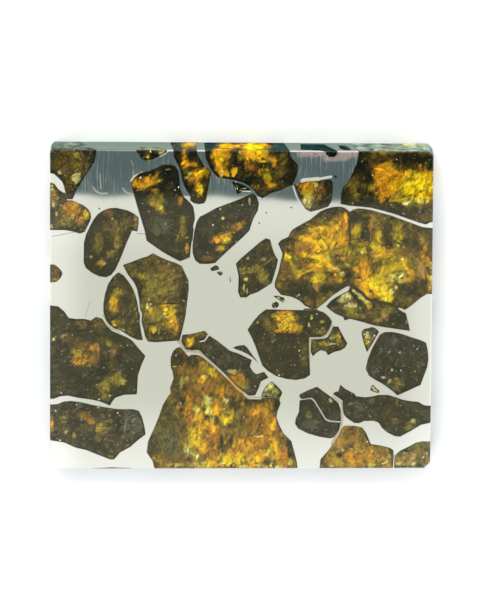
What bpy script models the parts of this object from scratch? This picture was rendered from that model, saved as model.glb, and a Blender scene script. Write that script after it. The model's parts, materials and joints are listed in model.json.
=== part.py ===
"""Polished slice of a pallasite: a net of nickel-iron with olivine crystals set in it.

The slice lies flat on its back face with the polished face up. X runs to the right and Y to the
top of the polished face. The origin is at the centre of the back face.
"""

import math

import bmesh
import bpy

MM = 0.001

# Driving dimensions
SLAB_WIDTH = 50.0 * MM
SLAB_HEIGHT = 42.6 * MM
SLAB_THICKNESS = 6.5 * MM
BOTTOM_RISE = 0.4 * MM  # the bottom side climbs this much toward the right
EDGE_BREAK = 0.15 * MM
GRAIN_GAP = 0.05 * MM

# How far each corner of the slab is broken off, along both of its sides
CORNER_BREAKS = {
    "bottom_left": 0.25 * MM,
    "bottom_right": 0.80 * MM,
    "top_right": 0.60 * MM,
    "top_left": 0.40 * MM,
}

# The four corners of the polished face in the photograph, in its 480 x 605 pixel frame
FACE_TOP_LEFT = (50.0, 149.5)
FACE_TOP_RIGHT = (433.7, 151.5)
FACE_BOTTOM_RIGHT = (430.0, 468.0)
FACE_BOTTOM_LEFT = (50.0, 469.0)

# A crystal that comes this near to a side of the slab runs out through it
RIM_REACH = 0.25 * MM
RIM_OVERSHOOT = 3.0 * MM
FACE_OVERSHOOT = 1.0 * MM

# Grain boundaries lean as they go down: their shift at the back face, and its wavelengths
DRIFT = 0.9 * MM
DRIFT_LONG_WAVE = 38.0 * MM
DRIFT_SHORT_WAVE = 29.0 * MM

METAL_COLOUR = "C9C9BC"
DARK_OLIVE = "4A4630"
OLIVE = "6E6426"
AMBER = "B87A18"
ORANGE = "B8661E"
BROWN = "6A4E2A"


def mix(start, end, share):
    return start + (end - start) * share


def to_face(pixel):
    """The point of the polished face, in metres from its centre, under a pixel of the photograph."""
    across, down = 0.5, 0.5
    for _ in range(8):
        left = mix(FACE_TOP_LEFT[0], FACE_BOTTOM_LEFT[0], down)
        right = mix(FACE_TOP_RIGHT[0], FACE_BOTTOM_RIGHT[0], down)
        across = (pixel[0] - left) / (right - left)
        top = mix(FACE_TOP_LEFT[1], FACE_TOP_RIGHT[1], across)
        bottom = mix(FACE_BOTTOM_LEFT[1], FACE_BOTTOM_RIGHT[1], across)
        down = (pixel[1] - top) / (bottom - top)
    return ((across - 0.5) * SLAB_WIDTH, (0.5 - down) * SLAB_HEIGHT)


def squared_off(x, y):
    """Where the slab's rising bottom side carries a point of the even rectangle."""
    rise = BOTTOM_RISE * (x / SLAB_WIDTH + 0.5)
    return x, SLAB_HEIGHT / 2 - (SLAB_HEIGHT / 2 - y) * (1 - rise / SLAB_HEIGHT)


def past_rim(value, half_size):
    """Moves a coordinate that is at a side of the slab out past it."""
    if abs(value) < half_size - RIM_REACH:
        return value
    return math.copysign(half_size + RIM_OVERSHOOT, value)


def face_outline(pixels):
    """The outline on the polished face, anticlockwise, run out past the slab's sides."""
    points = [to_face(pixel) for pixel in pixels]
    points = [(past_rim(x, SLAB_WIDTH / 2), past_rim(y, SLAB_HEIGHT / 2)) for x, y in points]
    area = sum(a[0] * b[1] - b[0] * a[1] for a, b in zip(points, points[1:] + points[:1]))
    return points if area > 0 else points[::-1]


def scaled(points, scale, toward):
    """The outline drawn in toward a point, which is its own middle unless one is given."""
    if toward is None:
        centre_x = sum(x for x, _ in points) / len(points)
        centre_y = sum(y for _, y in points) / len(points)
    else:
        centre_x, centre_y = to_face(toward)
    return [(mix(centre_x, x, scale), mix(centre_y, y, scale)) for x, y in points]


def grown(points, distance):
    """The outline moved outward by a distance, with its sharp corners kept short."""
    if distance == 0:
        return points
    result = []
    for i, (x, y) in enumerate(points):
        before = points[i - 1]
        after = points[(i + 1) % len(points)]
        in_x, in_y = x - before[0], y - before[1]
        out_x, out_y = after[0] - x, after[1] - y
        in_length, out_length = math.hypot(in_x, in_y), math.hypot(out_x, out_y)
        normal_x = in_y / in_length + out_y / out_length
        normal_y = -in_x / in_length - out_x / out_length
        length = math.hypot(normal_x, normal_y)
        reach = distance * min(2.0 / length, 2.0)
        result.append((x + normal_x / length * reach, y + normal_y / length * reach))
    return result


def drifted(points, depth):
    """The outline as the leaning grain boundaries carry it to a depth below the polished face."""
    share = DRIFT * depth / SLAB_THICKNESS
    long_turn = 2 * math.pi / DRIFT_LONG_WAVE
    short_turn = 2 * math.pi / DRIFT_SHORT_WAVE
    result = []
    for x, y in points:
        shift_x = math.sin(y * long_turn + 0.6) + 0.5 * math.sin(x * short_turn + 2.0)
        shift_y = math.sin(x * long_turn + 2.1) + 0.5 * math.sin(y * short_turn + 4.0)
        result.append((x + share * shift_x, y + share * shift_y))
    return result


def through(outline, taper=1.0, toward=None):
    """A crystal that both faces cut: the layers that its sides run between."""
    return [(0.0, outline, 1.0, toward), (SLAB_THICKNESS, outline, taper, toward)]


def from_front(depth, outline, taper=0.6, toward=None):
    """A crystal that ends inside the metal below the polished face."""
    return [(0.0, outline, 1.0, toward), (depth * MM, outline, taper, toward)]


def from_back(height, outline, taper=0.65, toward=None):
    """A crystal that only the back face cuts."""
    start = SLAB_THICKNESS - height * MM
    return [(start, outline, taper, toward), (SLAB_THICKNESS, outline, 1.0, toward)]


# Crystals: colour, and layers from the polished face down. Outlines are in photograph pixels.
CRYSTALS = {
    "olivine_corner_top_left": (DARK_OLIVE, through([
        (50, 149.5), (95, 149.5), (96, 153), (94.5, 161), (90.5, 168), (84, 177), (80, 184), (76, 190),
        (72.5, 198.6), (67, 198.6), (65.8, 192), (64, 185), (62, 180), (58, 175.5), (53, 173), (50, 170.5),
    ], taper=0.78, toward=(50, 149.5))),
    "olivine_left_upper": (OLIVE, through([
        (50, 181), (54, 183.5), (58, 189), (62, 192), (64.8, 193), (66.8, 200.3), (72, 200.3), (77, 202.5),
        (83, 205), (88, 209), (90.3, 213), (90.8, 217), (89.6, 221), (87, 226), (84.5, 231), (80, 232.7),
        (74, 231), (66, 229.3), (50, 229),
    ])),
    "olivine_oval_upper_left": (BROWN, through([
        (110, 208), (116, 207.7), (122, 209), (128, 210.5), (134, 213.5), (138.2, 217), (138.2, 223),
        (137, 230.5), (132, 229.5), (126, 243), (120.5, 257), (115, 269), (111, 274), (106, 276.3),
        (99, 275.2), (92, 271.8), (86, 267), (84, 262), (84.3, 242), (86.8, 233), (91.4, 223.7), (94, 219),
        (98, 214), (103, 210.5),
    ], taper=0.96)),
    "olivine_long_upper_left": (OLIVE, through([
        (131, 184), (134, 178), (140, 173), (148, 171.5), (156, 168.5), (162, 165.2), (170, 164.8),
        (175.5, 166.5), (178, 171), (179, 180), (180.3, 190), (184, 197), (190, 202.6), (193, 206.5),
        (194.3, 214), (194.6, 219), (193, 224), (191.6, 238), (190.6, 247), (189.5, 256.5), (180, 260.3),
        (172, 256.3), (162, 250.5), (152, 243.5), (147, 240), (145, 230), (142.5, 222), (137, 204),
        (134, 193),
    ], taper=0.97)),
    "olivine_bar_centre": (BROWN, through([
        (200, 216.5), (208, 212.5), (216, 208), (224, 205), (232, 202), (241, 198.5), (249, 195),
        (253.5, 193.3), (256.5, 197), (258.7, 203), (257.5, 210), (253, 218), (249, 230), (243, 236),
        (228, 249.5), (220, 257), (215, 262), (208, 263), (200, 262.8), (195.5, 259.5), (193, 252.5),
        (192.8, 245), (194.8, 230), (197, 221.5),
    ], taper=0.96)),
    "olivine_chip_top": (OLIVE, from_front(2.2, [
        (134.5, 149.5), (136.8, 151.95), (139.5, 155.2), (142, 159.3), (147, 161), (152, 159.5),
        (158, 156.7), (163, 154.3), (166.8, 152.15), (168.5, 149.8),
    ], toward=(152, 149.8))),
    "olivine_narrow_top": (ORANGE, through([
        (172.5, 149.8), (174.3, 157), (177.4, 163), (180, 168), (181.6, 174), (182.6, 180), (184.6, 186),
        (188.5, 192), (190.8, 196), (190.5, 200), (194, 202.5), (199, 203.5), (204, 202.5), (206, 199),
        (208, 186), (210.5, 175), (210.7, 171.3), (207, 168), (203.5, 165), (200.5, 160), (197, 154),
        (194, 149.8),
    ])),
    "olivine_wide_top": (ORANGE, through([
        (204, 150), (206, 158), (210, 167), (214, 173), (219, 177.4), (229, 178.7), (235.5, 179.8),
        (243, 182.2), (249, 185.2), (253.5, 189), (257.5, 194.8), (262.5, 197.7), (267, 194.7),
        (273, 191.7), (281, 189.5), (287, 186.5), (292, 184.5), (295, 178.5), (298, 170), (297.5, 165),
        (293, 160), (290, 156), (288, 150.5),
    ])),
    "olivine_sliver_top": (DARK_OLIVE, from_front(0.8, [
        (231.8, 181.2), (236, 182.1), (242.3, 184.3), (247.6, 187), (251, 190.2), (245, 190),
        (241.6, 189.9), (240.6, 191.8), (238, 193.8), (236, 191), (236.6, 187.9), (233.8, 185),
    ])),
    "olivine_small_top_right": (BROWN, through([
        (294.5, 184), (300, 183), (308, 181.3), (318, 180.8), (329, 179.5), (332.3, 181.5), (332.7, 190),
        (331, 201), (328, 206), (320, 208.5), (311, 211), (306, 208.5), (303, 204), (300, 198), (297, 190),
    ], taper=0.9)),
    "olivine_corner_top_right": (AMBER, through([
        (361, 151.3), (358, 161), (354, 170), (350, 179), (347, 184), (343, 187), (341.5, 194),
        (340.8, 203.3), (350, 205), (360, 205.8), (371, 206.9), (383, 209.9), (396, 213.6), (409, 218.2),
        (420, 222), (426, 223.6), (430, 221.5), (433.5, 219.5), (433.7, 151.5),
    ])),
    "olivine_large_right": (AMBER, through([
        (333, 206.8), (339, 206.3), (344, 207.3), (347.5, 209.6), (349.5, 211.8), (353, 209.6), (358, 208.2),
        (364, 208.6), (371, 209.8), (380, 212.4), (391, 215.2), (402, 219.4), (412, 222.9), (422, 226.6),
        (433.5, 230.3), (433.5, 286), (432.7, 295), (427.3, 292.5), (420, 297), (411, 304.5), (405, 308.7),
        (398, 305.9), (390, 302), (380, 300.6), (372, 298.6), (366.4, 296), (363.6, 291.8), (356, 287),
        (350, 284.2), (345, 286.3), (333, 294), (325, 301), (317.5, 307), (312, 307.9), (305, 304.5),
        (301, 300.5), (296, 297.5), (291, 295.6), (281, 293.6), (275.3, 286.5), (275, 282), (278.8, 271),
        (281.5, 259), (283, 253), (278.5, 243), (281.5, 239.7), (289, 236.3), (290, 232.7), (293, 229),
        (304, 222.7), (310, 219.5), (320, 211.5), (326, 208.7),
    ])),
    "olivine_tongue_right": (OLIVE, through([
        (326.5, 305.5), (331, 300.3), (336, 296.8), (343, 293), (348.6, 290.2), (350.2, 286.6),
        (355.2, 289.1), (361.9, 293.2), (365, 297.8), (371.5, 300.7), (379.8, 302.7), (389.6, 304.1),
        (397.2, 307.8), (402.3, 311), (405.5, 312.7), (408, 322), (409.6, 329.7), (400, 328.3), (386, 326.3), (374, 324.3),
        (362, 320.7), (350, 317.6), (345, 319.2), (343.3, 315.8), (336, 312.8), (330.5, 309),
    ])),
    "olivine_shield_centre": (AMBER, through([
        (248, 329), (253, 321.5), (260, 313.5), (266, 308.9), (276, 309), (290, 309.5), (311, 309.8),
        (318, 309.9), (324, 312), (329, 316.5), (331.7, 321), (329.5, 327), (326, 333), (321, 335.8),
        (309, 336), (308.3, 346), (309.3, 366), (309.8, 374), (305, 377.3), (296, 379), (287, 378),
        (276, 375), (268, 370), (262.5, 364.5), (259.5, 356), (256, 346), (252, 336.5),
    ])),
    "olivine_hook_centre": (DARK_OLIVE, from_front(3.0, [
        (311.5, 339), (324, 338.3), (328, 336.3), (331, 331), (333.4, 326), (338, 326), (340.5, 331),
        (344, 337.5), (347, 342.5), (345, 346.5), (340, 349.5), (335, 350.5), (328, 354), (326.3, 350.5),
        (321, 349), (316.5, 351.5), (313, 355), (311, 351),
    ], taper=0.75)),
    "olivine_wedge_right": (DARK_OLIVE, from_front(3.0, [
        (362, 331), (364.5, 328.3), (369, 327.6), (372, 326.4), (376, 328), (378.6, 331.2), (376, 335.5),
        (372.5, 342), (369.5, 347), (367, 350.7), (364.5, 343), (362.5, 336),
    ])),
    "olivine_octagon_right": (DARK_OLIVE, through([
        (380.4, 333.8), (385, 331.5), (393, 331.5), (401, 333.3), (412, 337), (421, 339.8), (425.8, 342.3),
        (427.5, 350), (428, 359), (426.8, 366.5), (420.3, 384), (411, 388.3), (397.5, 394.5), (392, 389.5),
        (383, 383), (374, 378), (369.5, 375), (366, 368), (368.3, 358), (372, 348.5), (376.5, 340),
    ], taper=0.93)),
    "olivine_long_lower_right": (BROWN, through([
        (333.5, 393.4), (335, 391.7), (338.7, 391), (340.5, 384.7), (345, 388.5), (350, 391.2), (354, 393),
        (356, 396), (366, 397), (373, 396), (379, 394.6), (388, 394.6), (395, 396.7), (403, 399.5),
        (411, 401), (418, 401.5), (424, 405), (430.3, 407.7), (430.3, 417), (421, 424), (410, 430.5),
        (400, 436), (395, 435.5), (387, 431.5), (382, 427), (379, 422), (374, 420), (364, 420.2),
        (359, 422.5), (354, 422), (348, 418), (344.5, 414.5), (343, 408), (343, 400), (338, 396.5),
    ], taper=0.96, toward=(430.6, 412))),
    "olivine_splinter_right": (DARK_OLIVE, from_front(1.5, [
        (371, 387), (372.5, 384.5), (374.5, 386), (376.5, 388.5), (379.2, 390.3), (378.5, 392), (374, 391),
        (370.8, 389.5),
    ])),
    "olivine_pair_upper": (DARK_OLIVE, through([
        (300, 394), (308, 390), (317, 386.5), (323, 391), (332, 397.5), (338, 402.5), (340.3, 409),
        (340.6, 420.6), (331, 420), (326.6, 418.4), (321.3, 410), (315, 399.4), (311.5, 396.8),
        (302, 398.3), (299.8, 396.5),
    ])),
    "olivine_pair_lower": (DARK_OLIVE, through([
        (300, 400), (306, 399.2), (311, 398.6), (314, 401.4), (319.8, 411), (325.4, 420), (330, 421.8),
        (340.3, 422.4), (338.5, 430), (334.3, 436), (330.5, 437.8), (320, 436.2), (308, 432.8), (298.5, 428),
        (295.5, 423.5), (296, 418.5), (299.3, 411.5),
    ])),
    "olivine_rust_bottom": (ORANGE, through([
        (316, 468.5), (321, 459), (328, 451), (334, 443), (338.5, 435.5), (342, 428), (345, 425.5),
        (355, 425.7), (362, 427.5), (366, 433), (370.5, 444), (380, 445.5), (390, 448), (393, 450.3),
        (393.4, 455), (391.3, 468.5),
    ])),
    "olivine_corner_bottom_right": (OLIVE, through([
        (395, 455.5), (400, 451), (408, 447), (416, 442.7), (422, 441.3), (430, 441.8), (430, 468),
        (392.8, 468.5),
    ])),
    "olivine_rhomb_centre": (OLIVE, through([
        (236.3, 263), (241, 258), (247, 253), (254, 247), (261, 241), (266, 238), (270, 239.3), (271.3, 245),
        (274, 253), (277.6, 259.5), (276, 267), (271.5, 282), (264, 287), (257, 291.3), (250, 293.5),
        (246.5, 296.3), (240.5, 296.3), (238.4, 291), (239, 276),
    ], taper=0.9)),
    "olivine_bead_1": (DARK_OLIVE, from_front(1.0, [
        (272, 304.5), (273, 302.2), (276, 301), (278.5, 302.5), (278.4, 305), (276.5, 306.6), (273, 306.8),
    ])),
    "olivine_bead_2": (DARK_OLIVE, from_front(0.8, [
        (274, 295.4), (278, 295), (281, 296.4), (285.5, 297.5), (283, 301.5), (280, 299.5), (277, 297.5),
    ])),
    "olivine_bead_3": (DARK_OLIVE, from_front(1.0, [
        (210.5, 268.3), (213, 266.3), (216, 264.8), (218, 266), (219, 268.3), (216, 269.3), (212, 270),
    ])),
    "olivine_bead_4": (DARK_OLIVE, from_front(0.7, [
        (217.3, 271.6), (220, 270.8), (222.5, 272.5), (221, 274.5), (219, 274),
    ])),
    "olivine_left_edge": (BROWN, from_front(3.5, [
        (50, 264), (54, 264.2), (58, 267), (61.5, 271), (62, 273.5), (60, 277.5), (56, 281), (50, 283.5),
    ], taper=0.7, toward=(50, 274))),
    "olivine_oval_left": (OLIVE, through([
        (118.5, 272), (123.5, 275), (128.5, 281.5), (132.5, 288), (135.5, 296), (137.4, 304), (138.3, 310.5),
        (139.7, 314), (139.4, 322), (140.7, 331), (142.4, 339), (138, 339), (131, 336), (121, 329.6),
        (114, 327.4), (109.5, 323.6), (106, 318.5), (103.8, 311.5), (103.7, 303), (105.5, 293),
        (108.5, 283.5), (113, 276.5),
    ], taper=0.94)),
    "olivine_large_left_centre": (OLIVE, through([
        (123.5, 264.5), (132, 261.5), (140, 258.3), (147, 256.3), (153, 253), (160, 256.7), (168, 260),
        (176, 262.7), (181.5, 265.5), (184.5, 272), (188, 279.5), (188.5, 288), (185, 316), (181.3, 332),
        (179.3, 339.5), (168, 340.3), (156, 341.3), (148, 340.5), (145.6, 336), (143.8, 328), (141.8, 321),
        (142.6, 313), (140.6, 309), (139.4, 298), (137.3, 288), (134.3, 281.5), (128, 273.5),
    ], taper=0.97)),
    "olivine_bridge_centre": (AMBER, from_front(2.2, [
        (182.8, 334.3), (190, 333.8), (198, 332), (204.5, 330.4), (207.6, 333.5), (204.2, 339),
        (198.2, 340.4), (198.3, 349), (191, 349.3), (186, 348.6), (183.3, 344.2), (181.3, 340.3),
    ], taper=0.75)),
    "olivine_diagonal_centre": (BROWN, through([
        (199.9, 341.9), (205, 341.1), (209.3, 335.3), (216, 339.6), (230, 350.4), (238, 353), (251.5, 359.5),
        (249.5, 366), (253, 371.5), (256.3, 374), (264, 371.5), (268, 377), (260.7, 380.5), (258.5, 387),
        (255, 394.5), (249, 394.9), (244, 391), (238, 386.6), (231, 379), (221.6, 369.8), (207.6, 357),
        (203, 352.8), (200, 349.3),
    ])),
    "olivine_large_bottom": (AMBER, through([
        (171, 364.5), (171, 357), (173.5, 350.5), (177, 347.3), (180.5, 346.8), (184, 350.9), (188.5, 356.5),
        (191, 354.4), (197, 354.4), (202, 356.4), (206, 359.5), (220, 372.2), (229.1, 381), (236.6, 389.6),
        (243, 394), (248, 398.9), (262, 399.2), (279, 399), (280.3, 403), (277, 411), (276, 417), (279, 425),
        (283, 433), (291, 441), (294, 452), (296.5, 462), (300, 468.5), (160, 468.8), (153, 461),
        (147, 452), (148.5, 441), (154, 429), (159, 417), (163, 405), (168, 396.5), (171, 393), (170.5, 387),
        (174, 378), (173, 371), (171.5, 367.5),
    ])),
    "olivine_triangle_lower": (OLIVE, from_front(2.5, [
        (271.5, 381), (275.5, 384.2), (280, 389), (282, 392), (280.5, 396), (279, 397), (268, 397.1),
        (261.6, 396.4), (262.8, 391.5), (266, 386),
    ])),
    "olivine_sliver_centre": (DARK_OLIVE, from_front(1.2, [
        (233.5, 347), (238, 345.2), (244, 344.7), (247, 347), (250, 351.5), (254, 357), (258.3, 362.4),
        (252.8, 356.6), (248.5, 353.6), (242, 350.2), (237, 348.6),
    ], taper=0.7)),
    "olivine_large_left": (OLIVE, through([
        (50, 302), (58, 306), (64, 311), (68.5, 317.5), (76, 318.7), (84, 318.5), (91, 320.2), (96, 316.6),
        (102, 318.3), (106.5, 325.2), (112, 330.7), (119, 333.6), (127, 337), (132, 340.3), (138, 347.5),
        (145, 355.5), (141, 364.5), (137.5, 375), (137, 385), (136.5, 393.5), (124, 394), (115, 397),
        (111.7, 401.3), (109.8, 404.8), (101, 401), (92, 398.8), (78, 397), (68, 394.8), (60, 395.6),
        (54, 398), (50, 398.5),
    ])),
    "olivine_bottom_left": (DARK_OLIVE, through([
        (50, 405), (57, 404.2), (64, 401.4), (71, 400.8), (80, 402), (92, 404.8), (104, 407), (117, 409),
        (133, 409.1), (138.5, 410.7), (141.5, 416.5), (144, 426), (145.3, 434), (138, 439.5), (130, 446.5),
        (120, 452), (114, 459), (110.5, 459.2), (101, 455.5), (86, 449.5), (76, 447.3), (64, 442),
        (50, 436),
    ])),
    "olivine_top_side_wide": (DARK_OLIVE, [
        (0.0, [(325, 150.8), (326, 154), (329.5, 156.7), (334.5, 156.7), (337, 154), (335.5, 150.9)],
         1.0, None),
        (0.9 * MM, [(299, 150.8), (303, 158), (315, 163), (328, 162), (336, 157), (338.5, 150.9)], 1.0, None),
        (5.3 * MM, [(303, 150.8), (308, 156), (316, 159), (325, 158.5), (331, 155), (333, 150.9)], 1.0, None),
    ]),
    "olivine_top_side_narrow": (DARK_OLIVE, [
        (0.7 * MM, [(344, 151), (346, 154), (351, 154.5), (355, 151)], 1.0, None),
        (2.0 * MM, [(341, 151), (344, 157), (352, 158), (357, 151)], 1.0, None),
        (4.5 * MM, [(344, 151), (346, 154), (351, 154.5), (354, 151)], 1.0, None),
    ]),
    "olivine_back_1": (OLIVE, from_back(2.8, [
        (66, 286), (76, 279), (88, 280), (99, 285), (101, 293), (97, 304), (88, 309), (78, 309), (69, 303),
        (64, 295),
    ])),
    "olivine_back_2": (AMBER, from_back(3.4, [
        (200, 282), (211, 277), (223, 279), (231, 287), (232, 300), (226, 312), (214, 318), (203, 315),
        (196, 305), (195, 292),
    ])),
    "olivine_back_3": (BROWN, from_back(2.6, [
        (266, 207), (276, 200), (287, 199), (295, 206), (298, 214), (291, 221), (283, 226), (273, 229),
        (265, 224), (262, 215),
    ])),
    "olivine_back_4": (DARK_OLIVE, from_back(3.2, [
        (322, 362), (333, 357), (345, 356), (356, 359), (361, 367), (357, 376), (346, 380), (333, 382),
        (323, 378), (318, 370),
    ])),
    "olivine_back_5": (OLIVE, from_back(2.4, [
        (150, 362), (158, 358), (164, 366), (165, 378), (162, 390), (155, 400), (147, 398), (144, 388),
        (147, 374),
    ])),
    "olivine_back_6": (BROWN, from_back(3.0, [
        (103, 170), (113, 164), (124, 168), (128, 178), (127, 190), (119, 197), (108, 198), (100, 190),
        (98, 180),
    ])),
    "olivine_back_7": (DARK_OLIVE, from_back(3.0, [
        (415, 312), (423, 304), (433.5, 300), (433.5, 330), (425, 333), (416, 328),
    ], toward=(432, 315))),
    "olivine_back_8": (OLIVE, from_back(2.6, [
        (62, 469), (64, 458), (74, 455), (86, 458), (98, 464), (104, 469),
    ], toward=(82, 469))),
    "olivine_back_9": (AMBER, from_back(3.0, [
        (50, 240), (60, 238), (70, 240), (76, 248), (74, 256), (66, 259), (56, 257), (50, 254),
    ], toward=(50, 248))),
}


def linear_colour(hex_colour):
    """An sRGB hex colour as the linear values that a shader takes."""
    channels = [int(hex_colour[i:i + 2], 16) / 255 for i in (0, 2, 4)]
    linear = [c / 12.92 if c <= 0.04045 else ((c + 0.055) / 1.055) ** 2.4 for c in channels]
    return (*linear, 1.0)


def finish(name, hex_colour, metallic, roughness):
    material = bpy.data.materials.new(name)
    material.use_nodes = True
    shader = material.node_tree.nodes["Principled BSDF"]
    shader.inputs["Base Color"].default_value = linear_colour(hex_colour)
    shader.inputs["Metallic"].default_value = metallic
    shader.inputs["Roughness"].default_value = roughness
    return material


def loft(name, rings):
    """A closed solid through rings of equal point counts, each anticlockwise, from the top down."""
    shape = bmesh.new()
    layers = [[shape.verts.new(point) for point in ring] for ring in rings]
    shape.faces.new(layers[0])
    shape.faces.new(layers[-1][::-1])
    for upper, lower in zip(layers, layers[1:]):
        for i in range(len(upper)):
            j = (i + 1) % len(upper)
            shape.faces.new((upper[i], lower[i], lower[j]))
            shape.faces.new((upper[i], lower[j], upper[j]))
    mesh = bpy.data.meshes.new(name)
    shape.to_mesh(mesh)
    shape.free()
    body = bpy.data.objects.new(name, mesh)
    bpy.context.scene.collection.objects.link(body)
    return body


def crystal_rings(layers, growth):
    """The rings of a crystal, or of the pocket around it, run out past a face that cuts it."""
    rings = []
    for depth, outline, scale, toward in layers:
        points = scaled(face_outline(outline), scale, toward)
        points = [squared_off(x, y) for x, y in drifted(grown(points, growth), depth)]
        rings.append([(x, y, SLAB_THICKNESS - depth) for x, y in points])
    top, bottom = rings[0], rings[-1]
    if layers[0][0] == 0.0:
        rings.insert(0, [(x, y, z + FACE_OVERSHOOT) for x, y, z in top])
    else:
        rings[0] = [(x, y, z + growth) for x, y, z in top]
    if layers[-1][0] == SLAB_THICKNESS:
        rings.append([(x, y, z - FACE_OVERSHOOT) for x, y, z in bottom])
    else:
        rings[-1] = [(x, y, z - growth) for x, y, z in bottom]
    return rings


def slab_outline(inset):
    """The slab's outline with its broken corners, anticlockwise from the bottom left."""
    x, y = SLAB_WIDTH / 2 - inset, SLAB_HEIGHT / 2 - inset
    bottom_left, bottom_right = CORNER_BREAKS["bottom_left"], CORNER_BREAKS["bottom_right"]
    top_right, top_left = CORNER_BREAKS["top_right"], CORNER_BREAKS["top_left"]
    return [
        (-x, -y + bottom_left), (-x + bottom_left, -y),
        (x - bottom_right, -y), (x, -y + bottom_right),
        (x, y - top_right), (x - top_right, y),
        (-x + top_left, y), (-x, y - top_left),
    ]


def slab(name):
    """The whole slab as it was cut, with its edges broken by a fine chamfer."""
    levels = [
        (SLAB_THICKNESS, EDGE_BREAK), (SLAB_THICKNESS - EDGE_BREAK, 0.0), (EDGE_BREAK, 0.0), (0.0, EDGE_BREAK),
    ]
    return loft(name, [[(*squared_off(x, y), z) for x, y in slab_outline(inset)] for z, inset in levels])


def as_guide(body):
    body.hide_render = True
    body.display_type = "WIRE"


def cut(body, operation, other=None, group=None):
    tool = body.modifiers.new("cut", "BOOLEAN")
    tool.operation = operation
    tool.solver = "EXACT"
    if group is None:
        tool.object = other
    else:
        tool.operand_type = "COLLECTION"
        tool.collection = group


def build_crystals(whole_slab, pockets):
    for name, (colour, layers) in CRYSTALS.items():
        crystal = loft(name, crystal_rings(layers, 0.0))
        crystal.data.materials.append(finish(name, colour, 0.0, 0.12))
        cut(crystal, "INTERSECT", other=whole_slab)
        pocket = loft("pocket_" + name, crystal_rings(layers, GRAIN_GAP))
        bpy.context.scene.collection.objects.unlink(pocket)
        pockets.objects.link(pocket)
        as_guide(pocket)


def build_metal(pockets):
    metal = slab("nickel_iron")
    metal.data.materials.append(finish("nickel_iron", METAL_COLOUR, 1.0, 0.22))
    cut(metal, "DIFFERENCE", group=pockets)


def main():
    for leftover in list(bpy.data.objects):
        bpy.data.objects.remove(leftover)
    pockets = bpy.data.collections.new("crystal_pockets")
    bpy.context.scene.collection.children.link(pockets)
    whole_slab = slab("whole_slab")
    as_guide(whole_slab)
    build_crystals(whole_slab, pockets)
    build_metal(pockets)


main()
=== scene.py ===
import json
import math
import random

import bmesh
import bpy
from mathutils import Euler, Matrix, Vector, noise
from mathutils.bvhtree import BVHTree


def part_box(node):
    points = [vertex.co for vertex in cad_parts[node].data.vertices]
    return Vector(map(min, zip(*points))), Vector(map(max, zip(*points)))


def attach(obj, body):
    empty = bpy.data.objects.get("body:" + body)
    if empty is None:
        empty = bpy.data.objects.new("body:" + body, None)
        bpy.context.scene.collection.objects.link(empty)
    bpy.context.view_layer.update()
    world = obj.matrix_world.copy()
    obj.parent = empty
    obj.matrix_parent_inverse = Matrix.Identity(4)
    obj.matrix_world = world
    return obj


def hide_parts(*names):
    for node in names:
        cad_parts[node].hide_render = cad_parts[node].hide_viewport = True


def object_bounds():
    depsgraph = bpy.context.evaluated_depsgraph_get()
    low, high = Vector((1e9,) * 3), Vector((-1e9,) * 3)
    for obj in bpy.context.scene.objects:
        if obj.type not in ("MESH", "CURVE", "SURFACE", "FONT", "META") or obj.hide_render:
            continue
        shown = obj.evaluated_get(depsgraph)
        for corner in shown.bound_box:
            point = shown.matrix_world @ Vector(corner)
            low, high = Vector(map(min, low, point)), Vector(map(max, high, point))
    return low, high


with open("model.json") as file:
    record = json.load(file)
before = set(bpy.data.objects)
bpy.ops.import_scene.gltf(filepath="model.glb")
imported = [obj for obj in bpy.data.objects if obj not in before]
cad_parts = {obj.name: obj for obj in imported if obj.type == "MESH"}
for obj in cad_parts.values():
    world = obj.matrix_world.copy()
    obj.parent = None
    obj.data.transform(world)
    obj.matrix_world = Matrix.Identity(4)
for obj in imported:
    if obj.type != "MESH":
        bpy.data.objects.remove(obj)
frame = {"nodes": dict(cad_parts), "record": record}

# Without this, the warp of the noise would follow the clock
noise.seed_set(1)

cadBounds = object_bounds()
mm = 0.001
weld = 0.001 * mm

# The slab in the frame, and its polished face in the photo's 480 x 605 pixels
slab = {
    "low": cadBounds[0],
    "high": cadBounds[1],
    "bottomRise": 0.4 * mm,     # the bottom side climbs this much from left to right
    "cornerReach": 0.9 * mm,    # a broken corner is where the rooms to two sides add up to less
    "slack": 0.02 * mm,         # what is this near to a side lies on it
    "faceTopLeft": (50.0, 149.5),
    "faceTopRight": (433.7, 151.5),
    "faceBottomRight": (430.0, 468.0),
    "faceBottomLeft": (50.0, 469.0),
}
faceZ = slab["high"].z
slabWidth = slab["high"].x - slab["low"].x
slabHeight = slab["high"].y - slab["low"].y
pixelSize = slabWidth / (slab["faceTopRight"][0] - slab["faceTopLeft"][0])


def mix(start, end, share):
    return start + (end - start) * share


def clamp(value, low, high):
    return max(low, min(high, value))


# The place on the polished face that a pixel of the photo shows
def toFace(x, y):
    across, down = 0.5, 0.5
    for _ in range(8):
        left = mix(slab["faceTopLeft"][0], slab["faceBottomLeft"][0], down)
        right = mix(slab["faceTopRight"][0], slab["faceBottomRight"][0], down)
        across = (x - left) / (right - left)
        top = mix(slab["faceTopLeft"][1], slab["faceTopRight"][1], across)
        bottom = mix(slab["faceBottomLeft"][1], slab["faceBottomRight"][1], across)
        down = (y - top) / (bottom - top)
    height = slabHeight - slab["bottomRise"] * across
    return Vector(((across - 0.5) * slabWidth, slabHeight / 2 - down * height, faceZ))


def linearColour(hexColour):
    channels = [int(hexColour[i:i + 2], 16) / 255 for i in (0, 2, 4)]
    linear = [c / 12.92 if c <= 0.04045 else ((c + 0.055) / 1.055) ** 2.4 for c in channels]
    return (*linear, 1.0)


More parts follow.
